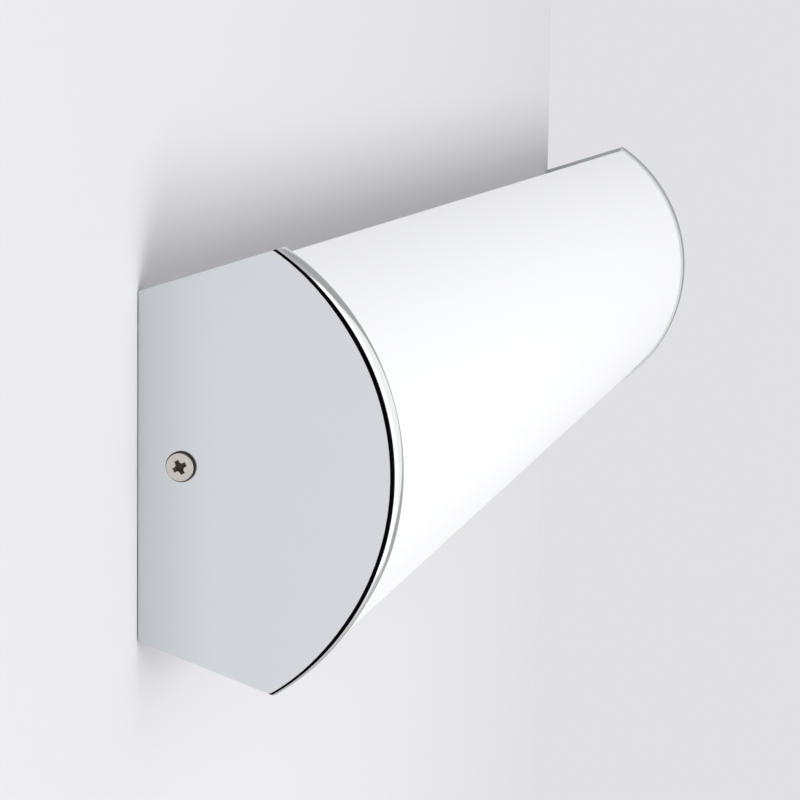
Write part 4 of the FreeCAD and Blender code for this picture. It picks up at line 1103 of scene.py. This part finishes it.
@dataclass
class Studio:
    """The wall, floor, background, lamps, cards and camera around the light."""

    wall_end: float = 302.0 * MM
    wall_span: float = 2.4
    wall_gap: float = 0.3 * MM
    floor_drop: float = 0.9
    wall_colour: Colour = (0.745, 0.738, 0.773)
    floor_colour: Colour = (0.75, 0.745, 0.77)
    background: Colour = (0.75, 0.745, 0.775)
    reflected: Colour = (0.585, 0.59, 0.60)
    paint_roughness: float = 0.9
    paint_specular: float = 0.1
    cloth: Colour = (0.004, 0.004, 0.004)
    ambient: float = 0.54
    ring_place: Vector = field(default_factory=lambda: Vector((-304.0, 2.8, -0.71)) * MM)
    ring_inner: float = 65.8 * MM
    ring_outer: float = 76.2 * MM
    ring_sides: int = 96
    camera_place: Vector = field(default_factory=lambda: Vector((-0.9054, -0.2006, 0.1080)))
    yaw: float = 12.58
    pitch: float = -8.09
    roll: float = 0.89
    focal_pixels: float = 2623.7
    image_pixels: float = 800.0
    sensor: float = 36.0

    def build(self) -> None:
        """Makes the camera, the stage, the world, the cards and the lamps."""
        self.camera()
        self.backdrop("wall", Vector((self.wall_end - self.wall_span / 2, self.wall_gap, 0)),
                      FACING_Y, self.wall_colour)
        self.backdrop("floor", Vector((0, 0, -self.floor_drop)), FACING_Z, self.floor_colour)
        self.world()
        self.dark_ring()
        for card in CARDS:
            clear_selection()
            bpy.ops.mesh.primitive_plane_add(size=1.0, location=card.place, rotation=card.turn)
            bpy.context.active_object.scale = card.size
            self.reflect_only(bpy.context.active_object, card.name, card.glow)
        for lamp in LAMPS:
            self.hang(lamp)
        bpy.context.scene.view_settings.view_transform = "Standard"

    def camera(self) -> None:
        """Makes the camera at the photograph's viewing angle."""
        data = bpy.data.cameras.new("camera")
        data.sensor_width = self.sensor
        data.lens = self.focal_pixels / self.image_pixels * data.sensor_width
        thing = bpy.data.objects.new("camera", data)
        bpy.context.scene.collection.objects.link(thing)
        yaw, pitch, roll = (math.radians(angle) for angle in (self.yaw, self.pitch, self.roll))
        ahead = Vector((
            math.cos(pitch) * math.cos(yaw), math.cos(pitch) * math.sin(yaw), math.sin(pitch),
        ))
        thing.rotation_mode = "QUATERNION"
        thing.rotation_quaternion = ahead.to_track_quat("-Z", "Y") @ Quaternion((0, 0, 1), roll)
        thing.location = self.camera_place
        bpy.context.scene.camera = thing

    def backdrop(self, name: str, place: Vector, turn: tuple[float, float, float], colour: Colour) -> None:
        """Makes a flat one-sided backdrop that keeps shadows and lets light through.

        Args:
            name: The backdrop's name.
            place: Its middle.
            turn: Its turn from lying flat.
            colour: Its colour.
        """
        clear_selection()
        bpy.ops.mesh.primitive_plane_add(size=self.wall_span, location=place, rotation=turn)
        thing = bpy.context.active_object
        thing.name = name
        made = bpy.data.materials.new(f"{name}_paint")
        made.use_nodes = True
        tree = made.node_tree
        shader = tree.nodes["Principled BSDF"]
        fill(shader, {
            "Base Color": (*colour, 1.0), "Roughness": self.paint_roughness,
            "Specular IOR Level": self.paint_specular,
        })
        clear = tree.nodes.new("ShaderNodeBsdfTransparent")
        path = tree.nodes.new("ShaderNodeLightPath")
        behind = tree.nodes.new("ShaderNodeNewGeometry")
        mix = tree.nodes.new("ShaderNodeMixShader")
        seen = self.seen(tree, path)
        front = tree.nodes.new("ShaderNodeMath")
        front.operation = "SUBTRACT"
        front.use_clamp = True
        link(tree, seen, front.inputs[0])
        link(tree, behind.outputs["Backfacing"], front.inputs[1])
        link(tree, front.outputs[0], mix.inputs["Fac"])
        link(tree, clear.outputs[0], mix.inputs[1])
        link(tree, shader.outputs[0], mix.inputs[2])
        link(tree, mix.outputs[0], tree.nodes["Material Output"].inputs["Surface"])
        thing.data.materials.append(made)

    @staticmethod
    def seen(tree: bpy.types.NodeTree, path: bpy.types.Node) -> bpy.types.NodeSocket:
        """Gives 1 for a ray from the camera, off metal or through glass, and else 0."""
        total = path.outputs["Is Camera Ray"]
        for name in ("Is Glossy Ray", "Is Transmission Ray"):
            add = tree.nodes.new("ShaderNodeMath")
            add.operation = "ADD"
            add.use_clamp = True
            link(tree, total, add.inputs[0])
            link(tree, path.outputs[name], add.inputs[1])
            total = add.outputs[0]
        return total

    def dark_ring(self) -> None:
        """Makes the black ring around the left cap that draws the dark line along its bend."""
        clear_selection()
        bpy.ops.mesh.primitive_circle_add(
            vertices=self.ring_sides, radius=self.ring_outer, fill_type="NGON", location=self.ring_place,
            rotation=FACING_X,
        )
        ring = Piece("dark_ring")
        ring.inset(self.ring_outer - self.ring_inner, lambda face: True)
        ring.drop(Pick.FACES, is_round_end)
        self.reflect_only(ring.thing, "dark_ring", 0.0)

    def reflect_only(self, thing: bpy.types.Object, name: str, glow: float) -> None:
        """Turns an object into a studio card that only glossy surfaces show.

        Args:
            thing: The object.
            name: The card's name.
            glow: How bright it is, with 0 for black cloth.
        """
        thing.name = name
        made = bpy.data.materials.new(f"{name}_cloth")
        made.use_nodes = True
        fill(made.node_tree.nodes["Principled BSDF"], {
            "Base Color": (*self.cloth, 1.0), "Roughness": 1.0, "Specular IOR Level": 0.0,
            "Emission Color": WHITE, "Emission Strength": glow,
        })
        thing.data.materials.append(made)
        for ray in ("camera", "diffuse", "shadow", "transmission"):
            setattr(thing, f"visible_{ray}", False)

    def world(self) -> None:
        """Lights the stage evenly and gives the camera and polished metal a pale background."""
        world = bpy.data.worlds.new("studio")
        world.use_nodes = True
        bpy.context.scene.world = world
        tree = world.node_tree
        light = tree.nodes["Background"]
        fill(light, {"Color": WHITE, "Strength": self.ambient})
        path = tree.nodes.new("ShaderNodeLightPath")
        shown = tree.nodes.new("ShaderNodeBackground")
        tone = tree.nodes.new("ShaderNodeMix")
        tone.data_type = "RGBA"
        tone.inputs["A"].default_value = (*self.background, 1.0)
        tone.inputs["B"].default_value = (*self.reflected, 1.0)
        link(tree, path.outputs["Is Glossy Ray"], tone.inputs["Factor"])
        link(tree, tone.outputs["Result"], shown.inputs["Color"])
        mix = tree.nodes.new("ShaderNodeMixShader")
        link(tree, self.seen(tree, path), mix.inputs["Fac"])
        link(tree, light.outputs[0], mix.inputs[1])
        link(tree, shown.outputs[0], mix.inputs[2])
        link(tree, mix.outputs[0], tree.nodes["World Output"].inputs["Surface"])

    @staticmethod
    def hang(lamp: Lamp) -> None:
        """Puts a lamp in its place and aims it at the light."""
        data = bpy.data.lights.new(lamp.name, "AREA")
        data.size = lamp.size
        data.energy = lamp.power
        thing = bpy.data.objects.new(lamp.name, data)
        thing.location = lamp.place
        thing.rotation_mode = "QUATERNION"
        thing.rotation_quaternion = (-lamp.place).to_track_quat("-Z", "Y")
        bpy.context.scene.collection.objects.link(thing)


def main() -> None:
    """Builds the stage and every piece, and reports each one."""
    logging.basicConfig(level=logging.INFO, format="%(name)s: %(message)s")
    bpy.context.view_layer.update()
    Studio().build()
    dress_carried_nodes()
    makers = [Diffuser()]
    for side in Side:
        makers += [EndCap(side), LockWasher(side), CapScrew(side)]
    for maker in makers:
        piece = maker.build()
        LOG.info("%s: %d faces", piece.name, len(piece.data.polygons))


if __name__ == "__main__":
    main()
